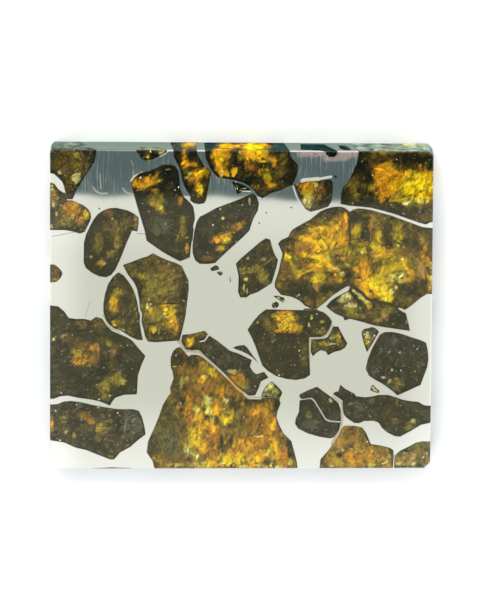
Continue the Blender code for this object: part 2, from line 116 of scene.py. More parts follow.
def addNode(tree, kind, inputs=None, **settings):
    node = tree.nodes.new(kind)
    for name, value in settings.items():
        setattr(node, name, value)
    for key, value in (inputs or {}).items():
        if isinstance(value, bpy.types.NodeSocket):
            tree.links.new(value, node.inputs[key])
        else:
            node.inputs[key].default_value = value
    return node


def calculate(tree, operation, *values):
    return addNode(tree, "ShaderNodeMath", dict(enumerate(values)), operation=operation).outputs[0]


def vectorMath(tree, operation, *values):
    node = addNode(tree, "ShaderNodeVectorMath", dict(enumerate(values)), operation=operation)
    return node.outputs["Value" if operation in ("LENGTH", "DISTANCE", "DOT_PRODUCT") else "Vector"]


def scaleVector(tree, vector, factor):
    inputs = {0: vector, "Scale": factor}
    return addNode(tree, "ShaderNodeVectorMath", inputs, operation="SCALE").outputs[0]


def mapRange(tree, value, start, end, low=0.0, high=1.0, smooth=False):
    return addNode(tree, "ShaderNodeMapRange", {
        "Value": value, "From Min": start, "From Max": end, "To Min": low, "To Max": high,
    }, interpolation_type="SMOOTHSTEP" if smooth else "LINEAR").outputs[0]


def noiseAt(tree, place, scale, detail, roughness=0.5):
    return addNode(tree, "ShaderNodeTexNoise", {
        "Vector": place, "Scale": scale, "Detail": detail, "Roughness": roughness,
    }).outputs[0]


def mixColour(tree, share, low, high):
    return addNode(tree, "ShaderNodeMix", {0: share, 6: low, 7: high}, data_type="RGBA").outputs[2]


def newMaterial(name):
    material = bpy.data.materials.new(name)
    material.use_nodes = True
    material.node_tree.nodes.clear()
    return material, material.node_tree


def addSurface(tree, inputs):
    shader = addNode(tree, "ShaderNodeBsdfPrincipled", inputs)
    return addNode(tree, "ShaderNodeOutputMaterial", {"Surface": shader.outputs[0]})


def addObject(name, data):
    thing = bpy.data.objects.new(name, data)
    bpy.context.scene.collection.objects.link(thing)
    return thing


# Stage: floor, sky, lamp and camera
stage = {
    "floorColour": "B8B9B3",
    "floorRoughness": 0.6,
    "floorSheen": 0.2,
    "floorSize": 3.0,
    "floorDrop": 0.02 * mm,
    "skyColour": (0.90, 0.92, 0.88),
    "skyStrength": 1.0,
    # places in the sky are slopes from straight up, east and north
    "lowest": 0.05,                        # nearer to the horizon than this, slopes grow no more
    "darkColour": (0.127, 0.184, 0.208),   # the dim ceiling that the polish mirrors near the top edge
    "darkAbove": 0.1,
    "darkEdge": -0.1737,                   # where its near edge lies
    "darkEdgeLean": -0.02,
    "darkEdgeBlur": 0.0003,
    "darkReach": (0.25, 0.375),            # where its other edges start and end to fade
    # the bright panel's rims: where each starts and ends, and what it adds
    "rimLeft": (-0.0240, -0.0307, 0.26),
    "rimRight": (0.0248, 0.0312, 0.225),
    "rimBottom": (-0.2053, -0.2192, 0.34),
    "rimTop": (-0.1849, -0.1756, 0.14),
    "rimColour": (1.08, 1.08, 1.43),
    "ringStrength": 2.4,                   # soft lights all round, above head height
    "ringStart": (0.26, 0.45),
    "ringEnd": (1.19, 1.7),
    "keyPlace": (-0.15, 0.62, 0.90),
    "keySize": 0.5,
    "keyPower": 8.0,
}
view = {
    "distance": 0.8208,
    "tilt": math.radians(10.88),
    "roll": math.radians(0.327),
    "lens": 372.97,
    "sensor": 36.0,
    "clip": (0.01, 10.0),
    "aim": (-0.126 * mm, 1.135 * mm),
}


def makeStage():
    floor = bpy.data.meshes.new("floor")
    half = stage["floorSize"] / 2
    drop = -stage["floorDrop"]
    corners = [(-half, -half, drop), (half, -half, drop), (half, half, drop), (-half, half, drop)]
    floor.from_pydata(corners, [], [(0, 1, 2, 3)])
    material, tree = newMaterial("paleFloor")
    addSurface(tree, {
        "Base Color": linearColour(stage["floorColour"]), "Roughness": stage["floorRoughness"],
        "Specular IOR Level": stage["floorSheen"],
    })
    floor.materials.append(material)
    addObject("floor", floor)


def makeSky():
    world = bpy.data.worlds.new("sky")
    world.use_nodes = True
    tree = world.node_tree
    tree.nodes.clear()
    direction = addNode(tree, "ShaderNodeTexCoord").outputs["Generated"]
    east, north, up = addNode(tree, "ShaderNodeSeparateXYZ", {0: direction}).outputs
    height = calculate(tree, "MAXIMUM", up, stage["lowest"])
    across = calculate(tree, "DIVIDE", east, height)
    along = calculate(tree, "DIVIDE", north, height)
    edge = calculate(tree, "MULTIPLY_ADD", across, stage["darkEdgeLean"], stage["darkEdge"])
    past = calculate(tree, "SUBTRACT", along, edge)
    dark = mapRange(tree, past, -stage["darkEdgeBlur"], stage["darkEdgeBlur"], smooth=True)
    for value in (along, calculate(tree, "ABSOLUTE", across)):
        fade = mapRange(tree, value, *stage["darkReach"], 1.0, 0.0, smooth=True)
        dark = calculate(tree, "MULTIPLY", dark, fade)
    dark = calculate(tree, "MULTIPLY", dark, calculate(tree, "GREATER_THAN", up, stage["darkAbove"]))
    rims = 0.0
    for rim, value in (("rimLeft", across), ("rimRight", across), ("rimBottom", along), ("rimTop", along)):
        begin, finish, gain = stage[rim]
        span = (begin, finish, 0.0, gain) if begin < finish else (finish, begin, gain, 0.0)
        rims = calculate(tree, "ADD", mapRange(tree, value, *span, smooth=True), rims)
    sky = vectorMath(tree, "ADD", scaleVector(tree, stage["rimColour"], rims), stage["skyColour"])
    slope = addNode(tree, "ShaderNodeCombineXYZ", {0: across, 1: along}).outputs[0]
    slope = vectorMath(tree, "LENGTH", slope)
    ringIn = mapRange(tree, slope, *stage["ringStart"], 1.0, stage["ringStrength"], smooth=True)
    ringOut = mapRange(tree, slope, *stage["ringEnd"], stage["ringStrength"], 1.0, smooth=True)
    sky = scaleVector(tree, sky, calculate(tree, "MINIMUM", ringIn, ringOut))
    colour = mixColour(tree, dark, sky, (*stage["darkColour"], 1.0))
    back = addNode(tree, "ShaderNodeBackground", {"Color": colour, "Strength": stage["skyStrength"]})
    addNode(tree, "ShaderNodeOutputWorld", {"Surface": back.outputs[0]})
    bpy.context.scene.world = world


def makeLamp():
    lamp = bpy.data.lights.new("key", "AREA")
    lamp.shape = "DISK"
    lamp.size = stage["keySize"]
    lamp.energy = stage["keyPower"]
    lampObject = addObject("key", lamp)
    lampObject.location = stage["keyPlace"]
    lampObject.rotation_euler = Vector(stage["keyPlace"]).to_track_quat("Z", "Y").to_euler()


def makeCamera():
    camera = bpy.data.cameras.new("camera")
    camera.sensor_fit = "VERTICAL"
    camera.sensor_height = view["sensor"]
    camera.lens = view["lens"]
    camera.clip_start, camera.clip_end = view["clip"]
    centre = Vector((0, 0, faceZ))
    place = centre + view["distance"] * Vector((0, math.sin(view["tilt"]), math.cos(view["tilt"])))
    back = (place - Vector((*view["aim"], faceZ))).normalized()
    right = Vector((0, 1, 0)).cross(back).normalized()
    turn = Matrix((right, back.cross(right), back)).transposed().to_4x4()
    turn = turn @ Matrix.Rotation(view["roll"], 4, "Z")
    cameraObject = addObject("camera", camera)
    cameraObject.matrix_world = Matrix.Translation(place) @ turn
    bpy.context.scene.camera = cameraObject


bpy.context.scene.view_settings.view_transform = "Standard"
makeStage()
makeSky()
makeLamp()
makeCamera()
print("stage, sky, lamp and camera are set")

# Nickel-iron, lapped and polished to a mirror: it shows the sky, and fine lapping scratches only where that
# is dim. Its saw-cut sides are dull and darker. Each path is a half width and the points that it runs
# through, in pixels.
metal = {
    "colour": "D8D8CA",
    "roughness": 0.014,
    "glanceTint": (0.6, 0.6, 0.6, 1.0),
    "sideColour": "84968C",
    "sideRoughness": 0.5,
    "sideSlope": (0.35, 0.65),    # how far up a surface faces where it turns from side to polish
    "scratchRoughness": 0.17,
    "scratchesPerMm": 5.5,        # across the strokes, drawn coarser than real ones so that they show
    "scratchNoise": (0.48, 0.82),
    "strokeLength": 5.0,          # millimetres
    "strokeTurn": math.radians(1.5),
    "blotchesPerMm": 0.22,        # the scratches come and go
    "blotchNoise": (0.35, 0.7, 0.25, 1.0),
    "wornFrom": (15.3, 17.4),     # millimetres up the face: the top is scratched
    "wornLeast": 0.05,
    "crumbsPerMm": 8.0,           # the tarnish is broken up
    "waves": 0.0006,              # how far the polish tips, as a slope
    "waveLength": 7.0,            # millimetres
    # tips in the polish that catch the bright panel
    "dipSlope": -0.011,
    "dipSoft": 0.3,
    "dips": [
        (2.1, (303, 180.5), (318, 179)), (1.1, (318, 178.8), (331, 176.5)), (3.2, (52, 177), (64, 189)),
        (0.7, (131, 180.5), (134, 176.3), (142, 172.2)), (2.2, (184, 198), (190, 199)),
        (0.9, (238, 189.5), (250, 190.8)), (0.4, (160, 156.6), (165, 154)),
        (0.5, (165, 154), (168.5, 151)), (0.6, (293.2, 186), (296.5, 196)),
        (0.5, (296.5, 196), (301, 205)), (0.4, (258, 197), (265, 198))],
}
metalStrokes = {
    # faint, a little brighter than the dim metal around them
    "scuffs": {"roughness": 0.07, "paths": [
        (0.6, (93, 187), (96, 191)), (0.7, (96, 191), (101, 193.3), (107, 193)),
        (0.6, (123, 188), (126, 192)), (0.7, (126, 192), (132, 194)), (0.5, (100, 174), (101, 189)),
        (0.5, (131, 160), (133, 165)), (0.5, (200, 160.5), (206, 166.5))]},
    # schreibersite, tan and less bright
    "veins": {"colour": "B4A98C", "roughness": 0.16, "paths": [
        (0.9, (309.5, 337), (309.5, 371)), (1.1, (309, 337), (322, 337), (327.5, 333), (332, 324)),
        (1.5, (178, 340), (182, 344)), (1.6, (182, 344), (186, 350), (199, 351)),
        (1.4, (199, 351), (203, 354)), (0.8, (203, 354), (229, 380)), (1.3, (333, 396), (341.5, 402)),
        (1.5, (341.5, 402), (342.5, 408), (341.5, 424), (332, 444)),
        (0.7, (103, 314), (110, 327), (120, 332)), (1.0, (245, 392), (248, 397), (260, 397))]},
    # scratches and pits
    "marks": {"colour": "6E6E62", "paths": [
        (0.25, (52, 236), (70, 232.5)), (0.2, (70, 232.5), (76, 231.5)), (0.25, (137, 233), (146, 233.5)),
        (0.15, (90, 301), (85, 316)), (0.9, (95, 149.9), (136, 149.9)),
        (0.8, (93, 469.3), (112, 468), (131, 469)), (1.2, (335.5, 176.5), (335.6, 176.6)),
        (0.5, (230, 277), (230.5, 281)), (0.7, (99, 208), (99.5, 208.5)), (0.6, (266, 212), (266.5, 212.5)),
        (0.6, (259, 222), (259.5, 223)), (0.7, (291, 207), (291.5, 207))]},
    # tarnish along the top edge
    "pink": {"colour": "E2A08C", "roughness": 0.3, "soft": 0.9, "crumbs": (0.42, 0.64, 0.0, 0.85), "paths": [
        (3.0, (300, 153.5), (358, 154)), (3.0, (326, 158), (346, 157))]},
    # where two crystals touch, the thin metal between them is painted dark: painted shade of the gap between
    # the crystals
    "seamShade": {"colour": "3E3826", "roughness": 0.4, "paths": [
        (1.2, (350.3, 285.4), (355.6, 288.1)),
        (1.4, (355.6, 288.1), (362.7, 292.5), (365.8, 296.9), (371.8, 299.6), (380, 301.6), (389.8, 303),
         (397.6, 306.8)),
        (1.0, (304.5, 308.4), (317, 308.9)), (0.8, (199.2, 341.5), (199.2, 349.5)),
        (1.1, (262, 398.1), (279, 398)), (0.8, (193, 228), (191.8, 240))]},
    "rusts": {"colour": "8E6A34", "roughness": 0.5, "paths": [
        (1.3, (227, 377.5), (230, 380)), (1.6, (230, 380), (237.3, 388.2)),
        (1.5, (237.3, 388.2), (243.5, 392.5))]},
}


def pathMask(tree, place, paths, soft=0.6):
    mask = 0.0
    for halfWidth, *points in paths:
        width = halfWidth * pixelSize / mm
        for start, end in zip(points, points[1:]):
            low, high = toFace(*start) / mm, toFace(*end) / mm
            low.z = high.z = 0.0
            run = high - low
            reach = vectorMath(tree, "SUBTRACT", place, low)
            share = vectorMath(tree, "DOT_PRODUCT", reach, run / run.length_squared)
            share = addNode(tree, "ShaderNodeClamp", {"Value": share}).outputs[0]
            away = vectorMath(tree, "DISTANCE", reach, scaleVector(tree, run, share))
            near = mapRange(tree, away, width * (1 - soft), width * (1 + soft), 1.0, 0.0, smooth=True)
            mask = calculate(tree, "MAXIMUM", near, mask)
    return mask


def metalMaterial():
    material, tree = newMaterial("polishedNickelIron")
    coordinates = addNode(tree, "ShaderNodeTexCoord").outputs
    flat = vectorMath(tree, "MULTIPLY", coordinates["Object"], (1 / mm, 1 / mm, 0))
    upward = addNode(tree, "ShaderNodeSeparateXYZ", {0: coordinates["Normal"]}).outputs[2]
    side = mapRange(tree, calculate(tree, "ABSOLUTE", upward), *metal["sideSlope"], 1.0, 0.0)

    strokes = addNode(tree, "ShaderNodeMapping", {
        "Vector": flat, "Scale": (metal["scratchesPerMm"], 1 / metal["strokeLength"], 1),
        "Rotation": (0, 0, metal["strokeTurn"]),
    }).outputs[0]
    scratch = mapRange(tree, noiseAt(tree, strokes, 1.0, 4.0, 0.65), *metal["scratchNoise"])
    blotch = mapRange(tree, noiseAt(tree, flat, metal["blotchesPerMm"], 3.0), *metal["blotchNoise"])
    scratch = calculate(tree, "MULTIPLY", scratch, blotch)
    up = addNode(tree, "ShaderNodeSeparateXYZ", {0: flat}).outputs[1]
    worn = mapRange(tree, up, *metal["wornFrom"], metal["wornLeast"], 1.0, smooth=True)
    scratch = calculate(tree, "MULTIPLY", scratch, worn)
    crumbs = noiseAt(tree, flat, metal["crumbsPerMm"], 3.0)

    finishes = []
    for stroke in metalStrokes.values():
        mask = pathMask(tree, flat, stroke["paths"], stroke.get("soft", 0.6))
        if "crumbs" in stroke:
            mask = calculate(tree, "MULTIPLY", mask, mapRange(tree, crumbs, *stroke["crumbs"]))
        finishes.append((mask, stroke.get("colour"), stroke.get("roughness")))
    finishes.append((side, metal["sideColour"], metal["sideRoughness"]))
    colour = linearColour(metal["colour"])
    roughness = mapRange(tree, scratch, 0.0, 1.0, metal["roughness"], metal["scratchRoughness"])
    for mask, hexColour, dullness in finishes:
        if hexColour:
            colour = mixColour(tree, mask, colour, linearColour(hexColour))
        if dullness:
            roughness = addNode(tree, "ShaderNodeMix", {0: mask, 2: roughness, 3: dullness}).outputs[0]

    wave = noiseAt(tree, flat, 1 / metal["waveLength"], 1.0)
    wave = mapRange(tree, wave, 0.0, 1.0, -metal["waves"], metal["waves"])
    dip = pathMask(tree, flat, metal["dips"], metal["dipSoft"])
    tip = calculate(tree, "MULTIPLY_ADD", dip, metal["dipSlope"], wave)
    tip = addNode(tree, "ShaderNodeCombineXYZ", {1: tip}).outputs[0]
    facing = addNode(tree, "ShaderNodeNewGeometry").outputs["Normal"]
    tipped = vectorMath(tree, "NORMALIZE", vectorMath(tree, "ADD", facing, tip))
    addSurface(tree, {
        "Base Color": colour, "Metallic": 1.0, "Roughness": roughness, "Normal": tipped,
        "Specular Tint": metal["glanceTint"],
    })
    return material


metalNode = frame["nodes"]["nickel_iron"]
metalNode.data.materials.clear()
metalNode.data.materials.append(metalMaterial())
print("metal is finished")

# Olivine is a clear gem mineral, broken inside: dark glass with bright cleavage flakes close under the
# polish
olivine = {
    "index": 1.6,
    "sheen": (0.92, 0.88, 0.60, 1.0),   # its polish gives back a little less blue
    "roughness": 0.02,
    "purest": 0.95,                     # how strongly coloured the absorption may be
    # what each kind takes out of the light per millimetre, red, green and blue
    "taken": {
        "olivine_dark": (0.60, 0.56, 1.1),
        "olivine_green": (0.42, 0.40, 1.3),
        "olivine_amber": (0.40, 0.43, 2.2),
        "olivine_orange": (0.40, 0.44, 2.0),
        "olivine_brown": (0.48, 0.50, 1.3),
    },
}

# The sides were sawn and not polished, so crystal there is dull and shows only a little of its inner colour
sawn = {
    "colour": "26403E",
    "roughness": 0.5,
    "index": 1.5,
    "grain": 3000.0,            # for each metre
    "grainNoise": (0.3, 0.7, 0.55, 1.35),
    "grainDepth": 0.06 * mm,
    "bump": 0.7,
    "steepest": 0.1,            # how far up a side may face
    "cell": 0.5 * mm,
    "glow": 0.85,
    "glowGain": 2.2,
    "rise": 0.161,              # how far up the photo's face each depth of the top side is seen
    "inward": (0.985, 0.98),    # the other sides show what the face shows a little way in
    "deepFade": 0.6,
    "fillShare": 0.5,
    "ragged": (0.75, 0.9, 0.8 * mm),
    "raggedLeast": 0.2,
}

# Cleavage flakes: thin, angular, lying nearly flat
flakes = {
    "mirror": 0.4,           # a cleavage face is partly a mirror
    "sheen": 0.1,
    "roughness": 0.48,
    "glintRoughness": 0.12,
    "thickness": 0.07,       # of the width
    "thickest": 0.4,         # of the clear crystal above it
    "brightest": 0.98,
    "drift": 0.08,           # of the tint, from flake to flake
    "skin": 0.07 * mm,       # clear crystal over the highest flake
    "room": 0.02 * mm,       # around each flake, and around its middle
    "middleRoom": 0.05 * mm,
    "slimness": (0.35, 0.75),
    "clouding": (1, 0.5, 0.5 * mm),
    "dullShade": 0.35,
    "keenShade": 1.6,
    "turnSpread": 0.3,
    "tiltRoom": 0.7,
    "layers": [
        {"area": 0.42, "coverage": 0.12, "depth": 0.28 * mm, "spread": 0.25 * mm, "deepShare": 0.25,
         "shortest": 0.5 * mm, "more": 0.45 * mm, "longest": 1.6 * mm, "shade": (0.85, 1.05),
         "dull": 0.03, "keen": 0.0, "tilt": 0.16, "fillShare": 0.1},
        {"area": 0.055, "coverage": 0.20, "depth": 0.0, "spread": 0.22 * mm, "deepShare": 0.1,
         "shortest": 0.16 * mm, "more": 0.24 * mm, "longest": 1.2 * mm, "shade": (0.8, 1.2),
         "dull": 0.05, "keen": 0.12, "tilt": 0.16, "fillShare": 0.12},
    ],
}
glints = {
    "number": 1.3,           # for each square millimetre
    "depth": 0.2,            # lengths are in millimetres
    "shortest": 0.09,
    "more": 0.06,
    "longest": 0.32,
    "slimness": (0.4, 0.9),
    "shade": (0.3, 0.95),
    "tints": ("white", "cream", "pale", "oliveYellow", "olive"),
    "dullness": (0.0, 0.4, 1.0),
    "tilt": 0.13,
    "turn": 3,
}

tints = {
    "white": "FFFDF0", "cream": "FCF2BC", "pale": "F2E498", "yellow": "FFDC14", "gold": "FCC20A",
    "amber": "EEA60A", "orange": "DC9A16", "rust": "CA7E28", "copper": "946626", "tan": "B89058",
    "brown": "725628", "oliveYellow": "C8AA1C", "olive": "8E7C28", "oliveBrown": "685626",
    "moss": "46412A", "umber": "3A2E20", "smoke": "56594F",
}


def clearMaterial(slot):
    material, tree = newMaterial("clear_" + slot)
    output = addSurface(tree, {
        "Base Color": (1.0, 1.0, 1.0, 1.0), "Roughness": olivine["roughness"], "IOR": olivine["index"],
        "Transmission Weight": 1.0, "Specular Tint": olivine["sheen"],
    })
    taken = [share / mm for share in olivine["taken"][slot]]
    density = max(taken) / olivine["purest"]
    colour = tuple(1.0 - share / density for share in taken)
    volume = addNode(tree, "ShaderNodeVolumeAbsorption", {"Color": (*colour, 1.0), "Density": density})
    tree.links.new(volume.outputs[0], output.inputs["Volume"])
    return material


def flakeMaterial():
    material, tree = newMaterial("olivineCleavageFlakes")
    tint = addNode(tree, "ShaderNodeAttribute", attribute_name="tint").outputs
    roughness = mapRange(tree, tint["Alpha"], 0.0, 1.0, flakes["glintRoughness"], flakes["roughness"])
    addSurface(tree, {
        "Base Color": tint["Color"], "Metallic": flakes["mirror"], "Roughness": roughness,
        "Specular IOR Level": flakes["sheen"],
    })
    return material


def sawnMaterial():
    material, tree = newMaterial("sawnOlivine")
    tint = addNode(tree, "ShaderNodeAttribute", attribute_name="tint").outputs["Color"]
    place = addNode(tree, "ShaderNodeTexCoord").outputs["Object"]
    grain = noiseAt(tree, place, sawn["grain"], 4.0)
    bump = addNode(tree, "ShaderNodeBump", {
        "Height": grain, "Distance": sawn["grainDepth"], "Strength": sawn["bump"],
    })
    addSurface(tree, {
        "Base Color": scaleVector(tree, tint, mapRange(tree, grain, *sawn["grainNoise"])),
        "Roughness": sawn["roughness"], "IOR": sawn["index"], "Specular IOR Level": 0.0,
        "Normal": bump.outputs[0],
    })
    return material


def flakeTree():
    tree = bpy.data.node_groups.new("cleavageFlakes", "GeometryNodeTree")
    for name, way, kind in (("Geometry", "INPUT", "Geometry"), ("Thickness", "INPUT", "Float"),
                            ("Seed", "INPUT", "Int"), ("Material", "INPUT", "Material"),
                            ("Geometry", "OUTPUT", "Geometry")):
        tree.interface.new_socket(name, in_out=way, socket_type="NodeSocket" + kind)
    given = addNode(tree, "NodeGroupInput").outputs
    points = addNode(tree, "GeometryNodeMeshToPoints", {"Mesh": given["Geometry"]})
    forms = addNode(tree, "GeometryNodeJoinGeometry")
    for sides in (3, 4, 5):
        cone = addNode(tree, "GeometryNodeMeshCone", {
            "Vertices": sides, "Radius Top": 0.0, "Radius Bottom": 0.5, "Depth": given["Thickness"],
        })
        form = addNode(tree, "GeometryNodeGeometryToInstance", {0: cone.outputs["Mesh"]})
        tree.links.new(form.outputs[0], forms.inputs[0])
    lean, size = (
        addNode(tree, "GeometryNodeInputNamedAttribute", {"Name": name}, data_type="FLOAT_VECTOR")
        for name in ("lean", "size"))
    pick = addNode(tree, "FunctionNodeRandomValue", {"Min": 0, "Max": 2, "Seed": given["Seed"]},
                   data_type="INT")
    placed = addNode(tree, "GeometryNodeInstanceOnPoints", {
        "Points": points.outputs[0], "Instance": forms.outputs[0], "Pick Instance": True,
        "Instance Index": pick.outputs["Value"],
        "Rotation": lean.outputs["Attribute"], "Scale": size.outputs["Attribute"],
    })
    real = addNode(tree, "GeometryNodeRealizeInstances", {0: placed.outputs[0]})
    finished = addNode(tree, "GeometryNodeSetMaterial", {
        "Geometry": real.outputs[0], "Material": given["Material"],
    })
    addNode(tree, "NodeGroupOutput", {0: finished.outputs[0]})
    return tree


clearMaterials = {slot: clearMaterial(slot) for slot in olivine["taken"]}
flakeNodes = flakeTree()
flakeFinish = flakeMaterial()
sawnFinish = sawnMaterial()


def growFlakes(name, seeds, seed):
    mesh = bpy.data.meshes.new(name)
    mesh.from_pydata([flake[0] for flake in seeds], [], [])
    tint = mesh.attributes.new("tint", "FLOAT_COLOR", "POINT")
    lean = mesh.attributes.new("lean", "FLOAT_VECTOR", "POINT")
    size = mesh.attributes.new("size", "FLOAT_VECTOR", "POINT")
    for i, (_, colour, turn, extent) in enumerate(seeds):
        tint.data[i].color = colour
        lean.data[i].vector = turn
        size.data[i].vector = extent
    body = addObject(name, mesh)
    modifier = body.modifiers.new("flakes", "NODES")
    modifier.node_group = flakeNodes
    values = {"Thickness": 1.0, "Seed": seed, "Material": flakeFinish}
    for item in flakeNodes.interface.items_tree:
        if item.in_out == "INPUT" and item.name in values:
            modifier[item.identifier] = values[item.name]
    graph = bpy.context.evaluated_depsgraph_get()
    real = bpy.data.meshes.new_from_object(body.evaluated_get(graph), preserve_all_data_layers=True,
                                           depsgraph=graph)
    bpy.data.objects.remove(body)
    return real


